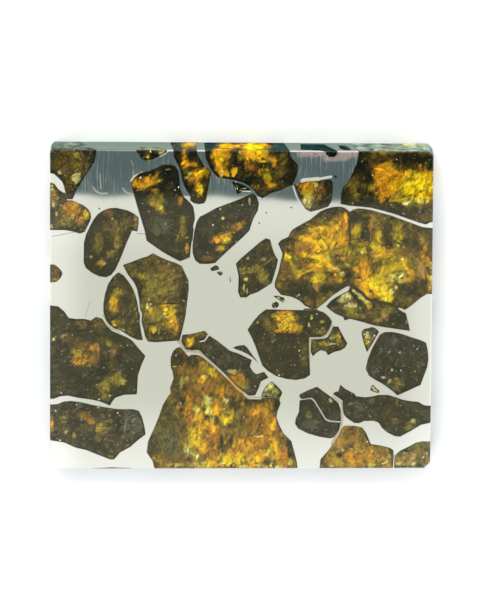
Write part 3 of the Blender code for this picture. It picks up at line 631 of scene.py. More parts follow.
# What shows in each crystal: how full it is and of which tints, and the glowing patches, as pixel, half
# width and half height in pixels, and a turn in degrees. "dark" and "dim" patches take the glow away.
# Lines are two pixels and a half width. "grain" is the way that its cleavage runs, in degrees, and "turn"
# how much that changes from block to block. "bright" and "glint" are how strong its glow is and how many
# glints it has. "slim" and "shard" are the shape of its flakes and the size of its facets. A patch
# narrower than "crisp" has a sharp edge. "sawn" is its colour on a sawn side.
crystals = {
    "corner_top_left": {"fill": (0.6, "moss", "oliveBrown", "umber"), "grain": 70, "glint": 1.6,
        "sawn": "6E7E72", "glows": {"oliveBrown": [(72, 165, 18, 12), (68, 185, 4, 8)],
        "yellow": [(77, 156, 3, 3)], "gold": [(76, 165, 4, 2.5)], "cream": [(60, 172, 2, 2)],
        "pale": [(76, 177, 4, 5)]}},
    "left_upper": {"fill": (0.5, "oliveBrown", "smoke", "umber"), "grain": 80, "bright": 0.34, "glint": 1.8,
        "glows": {"amber": [(72, 209, 9, 8)], "yellow": [(86, 214, 3, 5)], "olive": [(64, 222, 8, 5)],
        "orange": [(80, 219, 4, 5)], "copper": [(70, 204, 7, 5)], "gold": [(76, 203, 4, 2.5)],
        "tan": [(54, 198, 4, 9)], "cream": [(52, 188, 1.5, 4), (53, 204, 1.2, 4), (56, 214, 1.2, 2),
        (52, 226, 1.5, 2)], "pale": [(84, 211, 1.5, 1.5), (79, 212, 1.2, 1.2)]}},
    "oval_upper_left": {"fill": (0.28, "moss", "umber", "oliveBrown"), "grain": 70, "bright": 0.45,
        "glint": 1.4, "glows": {"oliveBrown": [(113, 228, 12, 8), (126, 222, 6, 4)],
        "copper": [(108, 213, 5, 4)], "tan": [(136, 222, 2.5, 8)], "olive": [(98, 243, 5, 9),
        (110, 253, 4, 4), (117, 240, 4, 8)], "oliveYellow": [(102, 263, 4, 4), (117, 246, 2, 4)],
        "pale": [(91, 257, 1.2, 1.5)]}},
    "long_upper_left": {"fill": (0.4, "umber", "moss", "oliveBrown"), "grain": 75, "bright": 0.52,
        "glows": {"amber": [(140, 183, 8, 6), (150, 181, 5, 4)], "gold": [(144, 184, 6, 3),
        (187, 248, 1.8, 5)], "oliveYellow": [(157, 178, 5, 5), (155, 191, 3, 2.5), (159, 208, 4, 5)],
        "orange": [(153, 204, 3, 2.5), (180, 200, 2.5, 4)], "olive": [(157, 199, 7, 5), (183, 228, 3, 12)],
        "brown": [(146, 189, 7, 2)], "smoke": [(160, 225, 10, 9)], "dark": [(169, 173, 10, 9),
        (145, 175, 12, 3, 20)], "dim": [(172, 192, 9, 10), (140, 198, 6, 8)]},
        "lines": {"tan": [(134, 191, 147, 187.5, 0.6)], "olive": [(185, 218, 177, 240, 0.8)]}},
    "bar_centre": {"fill": (0.5, "moss", "umber", "smoke"), "grain": 20, "bright": 0.75,
        "glows": {"oliveBrown": [(232, 228, 7, 4)], "amber": [(222, 237, 10, 3.5, 20),
        (238, 226, 7, 3, 30)], "yellow": [(226, 239, 5, 4)], "oliveYellow": [(221, 248, 5, 3)],
        "brown": [(208, 257, 6, 3)], "pale": [(223, 218, 1.3, 1.3)], "dark": [(241, 199, 17, 6, -15),
        (203, 245, 7, 9)]},
        "lines": {"cream": [(249.5, 197.5, 250, 204.5, 0.7)], "copper": [(212, 237, 238, 229, 0.6)]}},
    "chip_top": {"fill": (0.45, "moss", "umber"), "bright": 0.6, "sawn": "8A8A6A",
        "glows": {"moss": [(152, 153, 12, 4)], "oliveBrown": [(149, 151, 4, 3)],
        "gold": [(148, 157, 1.5, 2)], "cream": [(160, 152, 2, 3), (165, 152, 3, 1.5)],
        "dark": [(143, 153, 4, 3), (155, 157, 3, 3)]}},
    "narrow_top": {"fill": (0.4, "umber", "brown", "moss"), "grain": 80, "slim": 0.7, "sawn": "3E4A3E",
        "bright": 0.36, "glows": {"amber": [(184, 155, 3, 8), (186, 164, 4, 4), (195, 178, 6, 4)],
        "pale": [(184, 152, 1.5, 3), (190, 174, 2, 2)], "gold": [(193, 164, 4, 2.5, -20), (200, 173, 8, 4),
        (198, 187, 3, 5), (188, 145, 6, 3)], "yellow": [(201, 190, 3, 5)], "cream": [(187, 178, 2, 1.3)],
        "olive": [(186, 170, 3, 4)], "copper": [(190, 183, 5, 3)], "tan": [(197, 145, 8, 3)],
        "dark": [(192, 155, 4.5, 6), (186, 188, 5, 7), (175, 146, 5, 5), (176, 158, 3, 9)]}},
    "wide_top": {"fill": (0.5, "umber", "brown", "oliveBrown"), "grain": 70, "slim": 0.6, "shard": 0.6,
        "turn": 1.4, "bright": 0.65, "glint": 0.6, "glows": {"gold": [(219, 156, 7, 7), (227, 173, 2, 4),
        (258, 155, 9, 5), (222, 164, 5, 7), (226, 146, 8, 3), (264, 146, 6, 3), (262, 172, 3, 3)],
        "orange": [(226, 153, 5, 5), (217, 151, 4, 3)], "copper": [(252, 167, 5, 5), (256, 186, 4, 3)],
        "amber": [(222, 169, 5, 5), (247, 164, 2.5, 6), (274, 162, 2, 5), (271, 185, 4, 2.5),
        (239, 146, 6, 3), (248, 155, 5, 5)], "yellow": [(254, 151, 10, 5), (221, 159, 4, 3),
        (254, 146, 9, 3)], "oliveYellow": [(240, 157, 2.5, 4), (264, 173, 5, 4), (268, 179, 3, 6),
        (234, 171, 3, 3), (266, 160, 6, 2.5)], "oliveBrown": [(283, 160, 4, 6), (279, 172, 6, 5)],
        "cream": [(240, 153, 1.2, 1.2)], "brown": [(262, 188, 8, 3), (234, 152, 4, 3)],
        "dark": [(235, 163, 8, 5), (246, 181, 14, 5), (292, 166, 5, 14), (286, 181, 6, 4),
        (263, 164, 6, 2, 25), (210, 145, 6, 5), (285, 146, 9, 4), (208, 158, 3, 8)]},
        "lines": {"pale": [(221.5, 169, 222.5, 174, 0.7), (222.5, 174, 221, 178, 0.8)],
        "gold": [(268, 157, 277, 161, 0.7)], "tan": [(271, 160, 274.5, 169, 0.5)]}},
    "small_top_right": {"fill": (0.8, "oliveBrown", "moss"), "grain": 80, "bright": 0.82, "glint": 1.4,
        "glows": {"amber": [(304, 186, 5, 4), (297, 184, 3, 2)], "gold": [(312, 184, 6, 4)],
        "cream": [(316, 185, 2, 2)], "copper": [(320, 190, 6, 6)], "oliveYellow": [(309, 192, 6, 4)],
        "olive": [(318, 196, 4, 4)], "pale": [(308, 199, 5, 5), (307, 205, 5, 4)],
        "dark": [(328, 188, 4, 9), (325, 202, 6, 5)]}},
    "corner_top_right": {"fill": (0.7, "umber", "oliveBrown", "brown"), "grain": 60, "slim": 0.6,
        "shard": 0.65, "turn": 1.2, "bright": 1.4, "sawn": "869A8A", "glint": 0.6,
        "glows": {"amber": [(383, 173, 9, 8), (396, 176, 4, 6), (388, 186, 7, 7)],
        "gold": [(388, 166, 5, 4), (393, 186, 6, 6), (403, 177, 7, 6), (430, 180, 4, 9), (424, 193, 10, 5)],
        "orange": [(381, 182, 6, 9), (385, 193, 8, 4), (382, 199, 3, 4), (420, 168, 2, 5),
        (425, 170, 2, 5)], "yellow": [(409, 184, 7, 6), (420, 179, 9, 5), (425, 186, 9, 7),
        (414, 191, 11, 5), (419, 197, 11, 3)], "oliveYellow": [(371, 188, 3, 3), (412, 174, 4, 4),
        (404, 196, 7, 3), (398, 200, 7, 2)], "cream": [(408, 203, 5, 2.5)], "pale": [(422, 201, 7, 2.5),
        (410, 144.6, 14, 1.3)], "olive": [(416, 208, 8, 4), (355, 196, 2.5, 6), (352, 187, 3, 5),
        (402, 152, 9, 2), (383, 148, 12, 1.3)], "oliveBrown": [(360, 178, 5, 5)],
        "tan": [(384, 152.5, 8, 1.8)], "dark": [(359, 163, 12, 17), (402, 159, 18, 6), (424, 160, 9, 5),
        (362, 203, 16, 6), (345, 196, 4, 9), (402, 211, 28, 5), (368, 178, 4, 9)]},
        "lines": {"tan": [(392, 152, 392, 158, 0.5), (384, 199, 400, 195.5, 0.5)]}},
    "large_right": {"fill": (0.9, "oliveBrown", "brown", "olive"), "grain": 35, "slim": 0.6, "shard": 0.8,
        "turn": 1.7, "bright": 1.18, "glint": 0.6, "glows": {"gold": [(320, 232, 11, 7), (333, 236, 12, 10),
        (318, 250, 9, 7), (318, 266, 9, 5), (306, 238, 8, 3.5), (305, 254, 6, 3), (363, 286, 5, 5),
        (368, 274, 4, 7), (366, 294, 6, 5), (430, 280, 2, 9), (372, 290, 8, 7), (337, 227, 7, 6),
        (410, 274, 4, 5), (380, 254, 8, 3.5)], "yellow": [(323, 243, 12, 5), (320, 258, 11, 9),
        (318, 278, 8, 5), (377, 248, 6, 5), (378, 284, 10, 9), (387, 297, 7, 4), (288, 256, 4, 4),
        (384, 292, 6, 4)], "amber": [(343, 227, 5, 8), (342, 240, 7, 5), (362, 266, 7, 11),
        (340, 279, 5, 2), (371, 224, 2, 6)], "orange": [(346, 219, 4, 6), (337, 218, 5, 3),
        (300, 245, 6, 2.5), (388, 249, 7, 2), (423, 257, 2.5, 7, 15), (428, 263, 2, 6), (358, 280, 3, 5),
        (425, 247, 2, 4), (346, 258, 4, 5)], "copper": [(306, 248, 7, 4, -30), (307, 262, 6, 5),
        (372, 262, 5, 4), (428, 271, 3, 7), (296, 248, 4, 8)], "oliveYellow": [(356, 231, 5, 6),
        (345, 250, 5, 4), (364, 246, 4, 6), (378, 239, 3.5, 9), (399, 234, 5, 9), (390, 258, 9, 6),
        (386, 268, 7, 7), (396, 264, 6, 8), (292, 263, 2, 6, 30), (402, 281, 4, 3), (300, 272, 8, 2, 25),
        (404, 262, 4, 7)], "olive": [(358, 258, 8, 9), (306, 228, 7, 4), (357, 210, 4, 2.5),
        (414, 260, 5, 7), (345, 262, 9, 5)], "tan": [(336, 251, 8, 2.5), (420, 268, 4, 8), (317, 286, 4, 4),
        (422, 241, 2, 4), (297, 277, 4, 4), (281, 275, 3, 3)], "pale": [(397, 277, 9, 5),
        (333, 269, 6, 2.5), (342, 274, 3, 2.5), (302, 237, 3, 1.3)], "brown": [(284, 268, 7, 8),
        (380, 261, 4, 4), (416, 270, 3, 6)], "cream": [(330, 258.5, 3, 1.3), (391, 291, 3, 2.5),
        (283, 279, 2, 1.3), (398, 245.5, 1.8, 1.8), (362, 252, 1.3, 1.3), (396, 287, 1.5, 1.5),
        (385, 294, 2.5, 1.3)], "white": [(347, 264, 3, 1.2, -20), (385, 217, 1, 1), (411, 254, 1, 1),
        (294, 287, 2, 1), (404, 246, 1, 1)], "dark": [(322, 211, 28, 6), (300, 226, 10, 4.5, 25),
        (303, 291, 14, 8), (287, 240, 8, 4), (353, 217, 4, 6), (366, 233, 5, 11), (388, 239, 3.5, 9, 15),
        (363, 217, 8, 6), (414, 291, 12, 9), (331, 289, 13, 5), (405, 241, 5, 4), (349, 277, 2.5, 4.5),
        (393, 218, 5, 4)], "dim": [(290, 290, 12, 6), (414, 230, 14, 7)]},
        "lines": {"dark": [(349.5, 212, 350, 246, 0.7), (383, 232, 392, 247, 0.7)],
        "copper": [(370.5, 222, 371, 246, 0.6)], "olive": [(393.5, 222, 393, 248, 0.6)],
        "gold": [(313, 242, 341, 281, 1.8), (300, 238, 331, 245, 1.6), (402, 258, 410, 276, 1.0),
        (407, 266, 412, 278, 0.8), (297, 276, 312, 269, 0.8)], "tan": [(386, 278, 397, 278.5, 0.6)],
        "pale": [(430.8, 262, 431.6, 286, 0.7)]}},
    "tongue_right": {"fill": (0.6, "moss", "oliveBrown", "umber"), "grain": 20, "bright": 1.3, "glint": 1.2,
        "crisp": 12, "glows": {"pale": [(346, 298, 5, 4), (357.5, 291.5, 6, 2.6, -32), (351, 305, 6, 3),
        (366, 300, 3.5, 3, -20), (361, 297, 2.5, 2.5)], "cream": [(345.5, 295.5, 4.5, 3.5),
        (342, 300, 3.5, 2.5), (358.5, 291.5, 5, 2.2, -32), (350, 305, 4, 1.8), (371, 305, 1.3, 1.3),
        (357, 316.5, 1, 0.8), (406.5, 321, 1, 1.5)], "olive": [(352, 309, 8, 3.5), (356, 315, 9, 3),
        (388, 310, 8, 4)], "oliveYellow": [(369, 304, 3, 4), (386, 302.5, 6, 2)],
        "tan": [(384, 315.5, 4, 3.5), (377, 320, 5, 1.5)], "oliveBrown": [(338, 305, 5, 4),
        (372, 314, 8, 4)], "dark": [(332, 303, 4, 4), (358.5, 302, 1.6, 4), (398, 318, 9, 7)]},
        "lines": {"dark": [(350, 287, 353.5, 297, 0.8), (353.5, 297, 359, 300, 0.7)],
        "cream": [(352, 288, 361, 293.5, 0.7)]}},
    "top_side_wide": {"fill": (0.2, "umber", "umber"), "glint": 0.0, "sawn": "183432",
        "glows": {"dark": [(331, 153, 14, 9)]}},
    "top_side_narrow": {"fill": (0.2, "umber", "umber"), "glint": 0.0, "sawn": "1E3836", "glows": {}},
    "sliver_top": {"fill": (0.1, "umber", "umber"), "bright": 0.35, "glint": 0.0, "glows": {}},
    "shield_centre": {"fill": (0.45, "moss", "umber", "smoke"), "grain": 60, "glint": 1.3, "crisp": 9,
        "bright": 0.85, "shard": 0.25, "glows": {"gold": [(285, 319, 9, 7), (291, 327, 8, 4.5)],
        "yellow": [(286, 325, 7, 5), (290, 318, 5, 4)], "amber": [(285, 312, 7, 2), (279, 330, 5, 2)],
        "oliveYellow": [(274, 316, 2.5, 2.5), (300, 328, 2.5, 4)], "copper": [(297, 319, 2, 4)],
        "brown": [(266, 323, 3.5, 6), (272, 327, 4, 4)], "olive": [(268, 323, 2, 3), (320, 332, 7, 2.5)],
        "pale": [(322.5, 321.5, 2.2, 1.3), (323, 328, 1.4, 1.4), (311.5, 316.5, 0.8, 2),
        (309, 324, 0.8, 2)], "oliveBrown": [(304, 352, 4, 9)]},
        "lines": {"dark": [(306.5, 311, 306.5, 335, 1.2), (276, 336, 305, 336, 1.0)],
        "copper": [(276, 331.8, 299, 332.6, 0.6)]}},
    "hook_centre": {"fill": (0.65, "moss", "olive", "oliveBrown"), "bright": 0.5,
        "glows": {"oliveYellow": [(324, 343, 5, 3), (339, 337, 3, 6)], "pale": [(331.5, 338, 1.5, 2)],
        "olive": [(331, 330, 3, 3)]},
        "lines": {"cream": [(328, 344, 337, 343.2, 0.5)]}},
    "wedge_right": {"fill": (1.0, "olive", "moss"), "bright": 0.75, "glint": 3.0,
        "glows": {"cream": [(367, 335, 3, 3)], "yellow": [(366, 341, 4, 3)]}},
    "octagon_right": {"fill": (0.56, "moss", "umber", "smoke"), "grain": 60, "glint": 1.8,
        "glows": {"white": [(383, 377, 2, 1.0), (392, 370, 0.8, 0.8), (400, 352, 0.7, 0.7)],
        "pale": [(390, 380, 1.5, 1.2)], "olive": [(400, 384, 4, 3), (396, 380, 3, 3)],
        "oliveBrown": [(392, 388, 6, 3)]}},
    "long_lower_right": {"fill": (0.55, "smoke", "moss", "umber"), "grain": 10, "glint": 1.3,
        "glows": {"brown": [(397, 404, 1.5, 5), (395, 421, 4, 3)], "pale": [(413, 421, 2.5, 2)],
        "olive": [(409, 427, 4, 4)], "smoke": [(352, 404, 6, 3)]}},
    "splinter_right": {"fill": (1.0, "olive", "pale"),
        "glows": {"cream": [(374, 387, 3, 2), (377, 390.5, 2, 1)]}},
    "pair_upper": {"fill": (0.6, "smoke", "umber"), "glows": {"pale": [(331, 400, 2, 2)]}},
    "pair_lower": {"fill": (0.68, "moss", "umber"),
        "glows": {"olive": [(309, 415, 3, 4)], "smoke": [(311, 424, 8, 4)]}},
    "rust_bottom": {"fill": (1.6, "brown", "tan", "olive"), "grain": 75, "bright": 1.3,
        "glows": {"copper": [(352, 439, 6, 6), (350, 432, 6, 5), (384, 451, 6, 3)],
        "rust": [(353, 438, 4, 3), (384, 456, 3, 3)], "amber": [(339, 442, 5, 3), (352, 461, 8, 4),
        (371, 454, 6, 4)], "orange": [(352, 456, 8, 5), (361, 456, 4, 5)], "gold": [(352, 463, 9, 3),
        (370, 459, 5, 5)], "oliveYellow": [(329, 455, 3, 5), (333, 462, 8, 4), (358, 429, 2.5, 3),
        (375, 462, 5, 4), (343, 465, 5, 2.5)], "cream": [(342.5, 450, 2, 1.8), (331, 466, 1.5, 1.5),
        (378.5, 456, 0.8, 2), (367, 465, 1.2, 1.5), (385, 463, 3.5, 3)], "tan": [(384, 457, 4, 5),
        (358, 446, 4, 6)], "pale": [(372, 465, 4, 2.5), (390, 455, 1, 6), (359, 445, 1, 1)],
        "dark": [(339, 455, 4, 2), (366, 434, 3, 7), (322, 462, 4, 5), (391, 452, 2, 4)]},
        "lines": {"pale": [(387, 449.5, 391, 459, 0.6)]}},
    "corner_bottom_right": {"fill": (1.4, "olive", "smoke", "tan"), "bright": 1.1, "glint": 2.0,
        "glows": {"tan": [(401, 458, 6, 5), (396, 461, 3, 5)], "copper": [(407, 457, 3, 4)],
        "olive": [(416, 448, 7, 5)], "white": [(423, 457.5, 2, 1, 35), (427, 453.5, 1, 1.3),
        (414, 458, 0.8, 1)], "cream": [(413, 464, 3, 2.5)], "pale": [(400, 464, 6, 2), (426, 466, 3, 2)],
        "dark": [(407, 450, 4, 3)]}},
    "rhomb_centre": {"fill": (0.5, "moss", "oliveBrown", "umber"), "grain": 60, "glint": 2.4,
        "glows": {"olive": [(247, 270, 8, 2.5, -10), (263, 275, 5, 5), (256, 268, 5, 3)],
        "oliveYellow": [(262, 278, 3, 3), (244, 270, 3, 2)], "white": [(248, 258, 1.3, 1.3)],
        "pale": [(246, 279, 2, 2), (244, 288, 1, 4), (247, 291, 0.7, 3)], "tan": [(264, 259, 3, 2)],
        "dark": [(258, 285, 7, 3), (272, 268, 3, 6)]},
        "lines": {"olive": [(242, 273, 262, 266, 0.9), (262, 266, 274, 257, 0.7),
        (256, 264, 264, 284, 0.6)]}},
    "left_edge": {"fill": (1.2, "brown", "moss"),
        "glows": {"brown": [(56, 268, 5, 4)], "tan": [(56, 279, 5, 3)]}},
    "oval_left": {"fill": (0.38, "moss", "oliveBrown", "olive"), "grain": 80, "bright": 0.55, "glint": 1.5,
        "glows": {"gold": [(114, 304, 4, 8)], "oliveYellow": [(118, 292, 4, 4), (115, 323, 3, 3)],
        "tan": [(122, 330, 3, 2)]}},
    "large_left_centre": {"fill": (0.58, "oliveBrown", "olive", "brown"), "grain": 85, "bright": 0.6,
        "glows": {"yellow": [(169, 311, 7, 5)], "gold": [(172, 320, 5, 7), (165, 307, 4, 4)],
        "amber": [(176, 328, 2.5, 6)], "oliveYellow": [(141, 275, 4, 3), (154, 329, 4, 3), (151, 312, 5, 5),
        (148, 283, 2, 2)], "olive": [(160, 285, 14, 12), (155, 318, 8, 8)], "brown": [(165, 270, 10, 6),
        (158, 297, 10, 3)], "pale": [(147, 306, 1.5, 3), (149, 299, 1, 1)], "dark": [(184, 290, 3, 22),
        (160, 333, 14, 2), (140, 290, 2, 12)]},
        "lines": {"dark": [(159, 303.5, 180, 303, 0.8), (161, 321, 174, 334, 0.8),
        (147, 324, 161, 322, 0.7)], "gold": [(163, 304.8, 178, 304.5, 0.6), (162, 322.5, 173, 333, 0.5)]}},
    "bridge_centre": {"fill": (0.7, "moss", "oliveBrown"), "bright": 0.32,
        "glows": {"gold": [(190, 342, 4, 4)], "oliveYellow": [(189, 346, 2, 2)],
        "olive": [(200, 334, 4, 2)]}},
    "diagonal_centre": {"fill": (0.6, "smoke", "moss", "umber"), "grain": 140,
        "glows": {"orange": [(237, 380, 8, 7)], "olive": [(240, 384, 8, 6)], "pale": [(232, 371, 4, 2)]}},
    "large_bottom": {"fill": (1.0, "oliveBrown", "copper", "olive"), "grain": 88, "slim": 0.7,
        "shard": 0.65, "turn": 0.35, "bright": 1.05, "glint": 0.7, "glows": {"yellow": [(191, 433, 5, 7),
        (199, 435, 5, 5), (194, 442, 5, 6), (227, 417, 6, 6), (226, 459, 9, 6), (242, 461, 14, 5),
        (213, 372, 5, 4), (274, 457, 5, 4), (210, 464, 7, 4)], "gold": [(204, 425, 10, 5), (216, 410, 6, 6),
        (198, 418, 5, 5), (238, 455, 12, 5), (272, 423, 5, 7), (262, 456, 7, 5), (204, 447, 6, 8),
        (252, 463, 9, 5), (275, 446, 7, 8), (267, 406, 2.5, 3), (236, 446, 5, 5)],
        "amber": [(212, 428, 7, 5), (241, 445, 8, 6), (255, 414, 4, 5), (270, 418, 5, 4), (234, 450, 8, 3),
        (280, 456, 5, 5), (249, 447, 6, 5), (268, 431, 4, 4)], "orange": [(189, 404, 4, 8),
        (188, 414, 5, 6), (194, 421, 3, 5), (210, 433, 7, 5), (215, 456, 3.5, 9), (217, 402, 3, 6),
        (255, 442, 8, 6), (262, 408, 5, 4), (282, 461, 6, 6), (202, 383, 6, 6), (221, 392, 4, 6),
        (257, 455, 5, 5), (266, 413, 4, 4)], "rust": [(203, 393, 3.5, 2.5), (212, 440, 6, 4),
        (264, 440, 6, 4), (250, 417, 1.5, 6), (287, 453, 2, 5)], "copper": [(212, 448, 4, 5),
        (253, 424, 7, 9), (261, 426, 7, 8), (276, 433, 6, 4), (196, 374, 6, 5), (213, 387, 5, 6),
        (234, 388, 6, 5), (193, 388, 4, 8)], "cream": [(207, 401, 4.5, 5.5), (208, 411, 3.6, 5),
        (187, 378.5, 2, 2.3), (188, 451, 3.5, 5), (195, 455, 4, 3), (222, 464, 4, 2.5), (244, 467, 5, 1.5),
        (262, 467, 6, 2), (213, 419, 2.5, 3.5), (227, 402, 4, 3.3), (280, 467, 5, 2)],
        "pale": [(197, 410, 3, 4.5), (185.5, 446, 2, 6), (203, 377, 4, 2.2), (181, 382, 2, 6),
        (272, 465, 3, 3), (243, 404, 2, 1.8), (225, 443, 2.5, 2), (198, 465, 9, 3), (290, 463, 2.5, 4),
        (176, 465, 8, 2)], "oliveYellow": [(204, 366, 4, 4), (202, 412, 3, 6), (174, 401, 3, 3),
        (153, 457, 5, 3), (240, 424, 5, 4)], "tan": [(208, 384, 3, 4), (228, 430, 8, 2.5), (241, 434, 6, 3),
        (178, 407.5, 6, 1.5), (284, 447, 2.5, 9), (196, 461, 7, 3), (250, 432, 6, 3)],
        "oliveBrown": [(240, 424, 8, 6), (186, 436, 2, 8), (188, 460, 5, 3), (180, 420, 5, 6)],
        "moss": [(166, 415, 9, 17), (153, 446, 8, 12), (176, 384, 8, 10), (177, 396, 5, 6)],
        "smoke": [(170, 440, 11, 20), (158, 425, 6, 8), (236, 412, 4, 4)], "dark": [(176, 357, 7, 10),
        (191, 361, 7, 5), (233, 403, 3.5, 7), (250, 401, 9, 3), (221.5, 441, 2, 7), (231, 443, 1.5, 7),
        (206.5, 417, 2.2, 2), (276, 405, 3, 6), (182, 404, 3, 7), (290, 448, 2, 9), (223, 426, 5, 1.2)]},
        "lines": {"cream": [(250.5, 437.4, 263, 436, 0.7), (268, 448.5, 268.2, 455, 0.7),
        (172, 365.8, 178, 366.5, 0.4)], "tan": [(199, 384, 204, 398, 0.5), (185, 363, 181, 372, 0.4)]}},
    "triangle_lower": {"fill": (0.8, "pale", "moss"), "bright": 0.9, "glows": {"cream": [(266, 388, 3, 3)]}},
    "large_left": {"fill": (0.48, "moss", "smoke", "umber", "oliveBrown"), "grain": 75, "glint": 1.5,
        "bright": 0.5, "glows": {"oliveYellow": [(78, 353, 5, 6), (85, 356, 3, 3)],
        "amber": [(80, 361, 7, 4), (92, 347, 4, 4)], "copper": [(91, 357, 6, 7), (84, 348, 6, 4)],
        "gold": [(78, 358, 4, 3), (91, 349, 3, 2)], "brown": [(99, 322, 7, 6), (86, 352, 14, 12),
        (113, 351, 4, 6), (82, 322, 6, 5), (66, 338, 5, 4)], "olive": [(109, 343, 3, 3), (104, 387, 6, 5),
        (117, 380, 7, 6), (104, 396, 5, 4), (106, 382, 2.5, 2.5)], "pale": [(123, 381, 3, 3),
        (108, 390, 1, 1.5), (64, 335, 3, 1.2, 30)], "cream": [(54, 339, 1.5, 1.5)],
        "tan": [(124, 333, 2, 2), (114, 352, 2, 3)], "dark": [(80, 330, 6, 2), (60, 350, 6, 8),
        (100, 372, 14, 3)]},
        "lines": {"tan": [(98, 343, 98.5, 360, 0.5), (84, 343, 86, 348, 0.5)],
        "brown": [(71, 348, 71, 366, 0.8)]}},
    "bottom_left": {"fill": (0.85, "smoke", "moss", "umber", "oliveBrown"), "grain": 30, "glint": 2.0,
        "glows": {"orange": [(91, 421, 4, 3, 20), (74, 436, 2, 2)], "copper": [(86, 416, 6, 4),
        (107, 421, 5, 2)], "oliveYellow": [(100, 428, 4, 4), (84, 416, 4, 3)], "yellow": [(100, 427, 3, 3)],
        "olive": [(103, 430, 6, 5), (98, 439, 3, 3), (64, 419, 4, 4)], "amber": [(52, 425, 1.3, 8)],
        "smoke": [(131, 426, 9, 10), (127, 419, 4, 5)], "white": [(98, 407, 1.3, 1.3)],
        "pale": [(66, 432, 2, 2)], "oliveBrown": [(86, 428, 6, 4), (60, 428, 5, 4)],
        "dark": [(118, 425, 4, 14)]},
        "lines": {"tan": [(126, 421, 124, 432, 0.4), (131, 420, 135, 426, 0.4)]}},
}


# The glow inside a crystal: patches that fade and fray, over a cloudy fill. Three values for one cloud are
# its middle, its swing and its size.
glow = {
    "fade": (1.05, 1.3),          # how fast a patch fades, and how squarely
    "fadeEnd": 3.6,               # the square of its reach, in half widths
    "widest": 1.9,
    "lineEdge": 1.6,
    "lineTaper": 0.5,
    "small": 3.2,                 # pixels: a patch narrower than this stays where it is drawn
    "broken": (0.8, 1.1, 0.2 * mm),
    "brokenMost": 1.2,
    "warps": [(0.7 * mm, 0.20 * mm), (0.26 * mm, 0.10 * mm)],    # how ragged the others are: size and shift
    "featherSize": (1.8 * mm, 0.28 * mm),
    "feather": 0.45 * mm,         # how far they fray along the cleavage
    "pick": (0.5, 1.5, 1.1 * mm),
    "thick": (0.62, 0.5, 1.3 * mm),
    "thickFine": (0.0, 0.4, 0.45 * mm),
    "thinnest": 0.15,
    "fillWeight": 0.25,
    "faintest": 0.01,
    "contrast": 2.5,
    "dimShare": 0.5,
    "shadow": (0.85, 0.9, 0.5 * mm),
    "shadowGain": 1.1,
    "shadowLeast": 0.07,
    "gain": 1.6,
    "darkLine": 0.15,
    "bright": 0.8,
}


def crystalShell(node):
    shell = bmesh.new()
    shell.from_mesh(frame["nodes"][node].data)
    bmesh.ops.remove_doubles(shell, verts=shell.verts, dist=weld)
    return shell


def insideTest(shell):
    tree = BVHTree.FromBMesh(shell)

    def inside(point, room):
        spot, normal, _, distance = tree.find_nearest(point)
        return distance > room and (point - spot).dot(normal) < 0
    return inside


def cloud(place, grain, offset):
    patch = Vector((place.x, place.y, 0.5 * place.z)) / grain
    return noise.noise(patch + Vector((offset, 0, 0)))


def cloudy(look, place, offset):
    middle, swing, size = look
    return middle + swing * cloud(place, size, offset)


def noisy(look, place):
    middle, swing, size = look
    return middle + swing * noise.noise(place / size)


def tintColour(tint):
    return Vector(linearColour(tints[tint])[:3])


# How far a place lies along and across a direction
def turned(x, y, angle):
    run, rise = math.cos(angle), math.sin(angle)
    return x * run + y * rise, y * run - x * rise


def patchReach(patch):
    x, y, rx, ry, *turn = patch
    angle = math.radians(turn[0] if turn else 0)
    centre = toFace(x, y)
    widest = glow["widest"] * max(rx, ry) * pixelSize

    def weight(place):
        dx, dy = place.x - centre.x, centre.y - place.y
        if abs(dx) > widest or abs(dy) > widest:
            return 0.0
        along, across = turned(dx, dy, -angle)
        square = (along / (rx * pixelSize)) ** 2 + (across / (ry * pixelSize)) ** 2
        return math.exp(-glow["fade"][0] * square ** glow["fade"][1]) if square < glow["fadeEnd"] else 0.0
    return weight


def lineReach(line):
    start, end = toFace(*line[:2]), toFace(*line[2:4])
    run = end - start
    halfWidth = line[4] * pixelSize

    def weight(place):
        reach = Vector((place.x - start.x, place.y - start.y, 0))
        share = clamp(reach.dot(run) / run.length_squared, 0.0, 1.0)
        away = (reach - run * share).length / halfWidth
        return clamp(glow["lineEdge"] - away, 0.0, 1.0) * (1 - glow["lineTaper"] * abs(2 * share - 1) ** 3)
    return weight


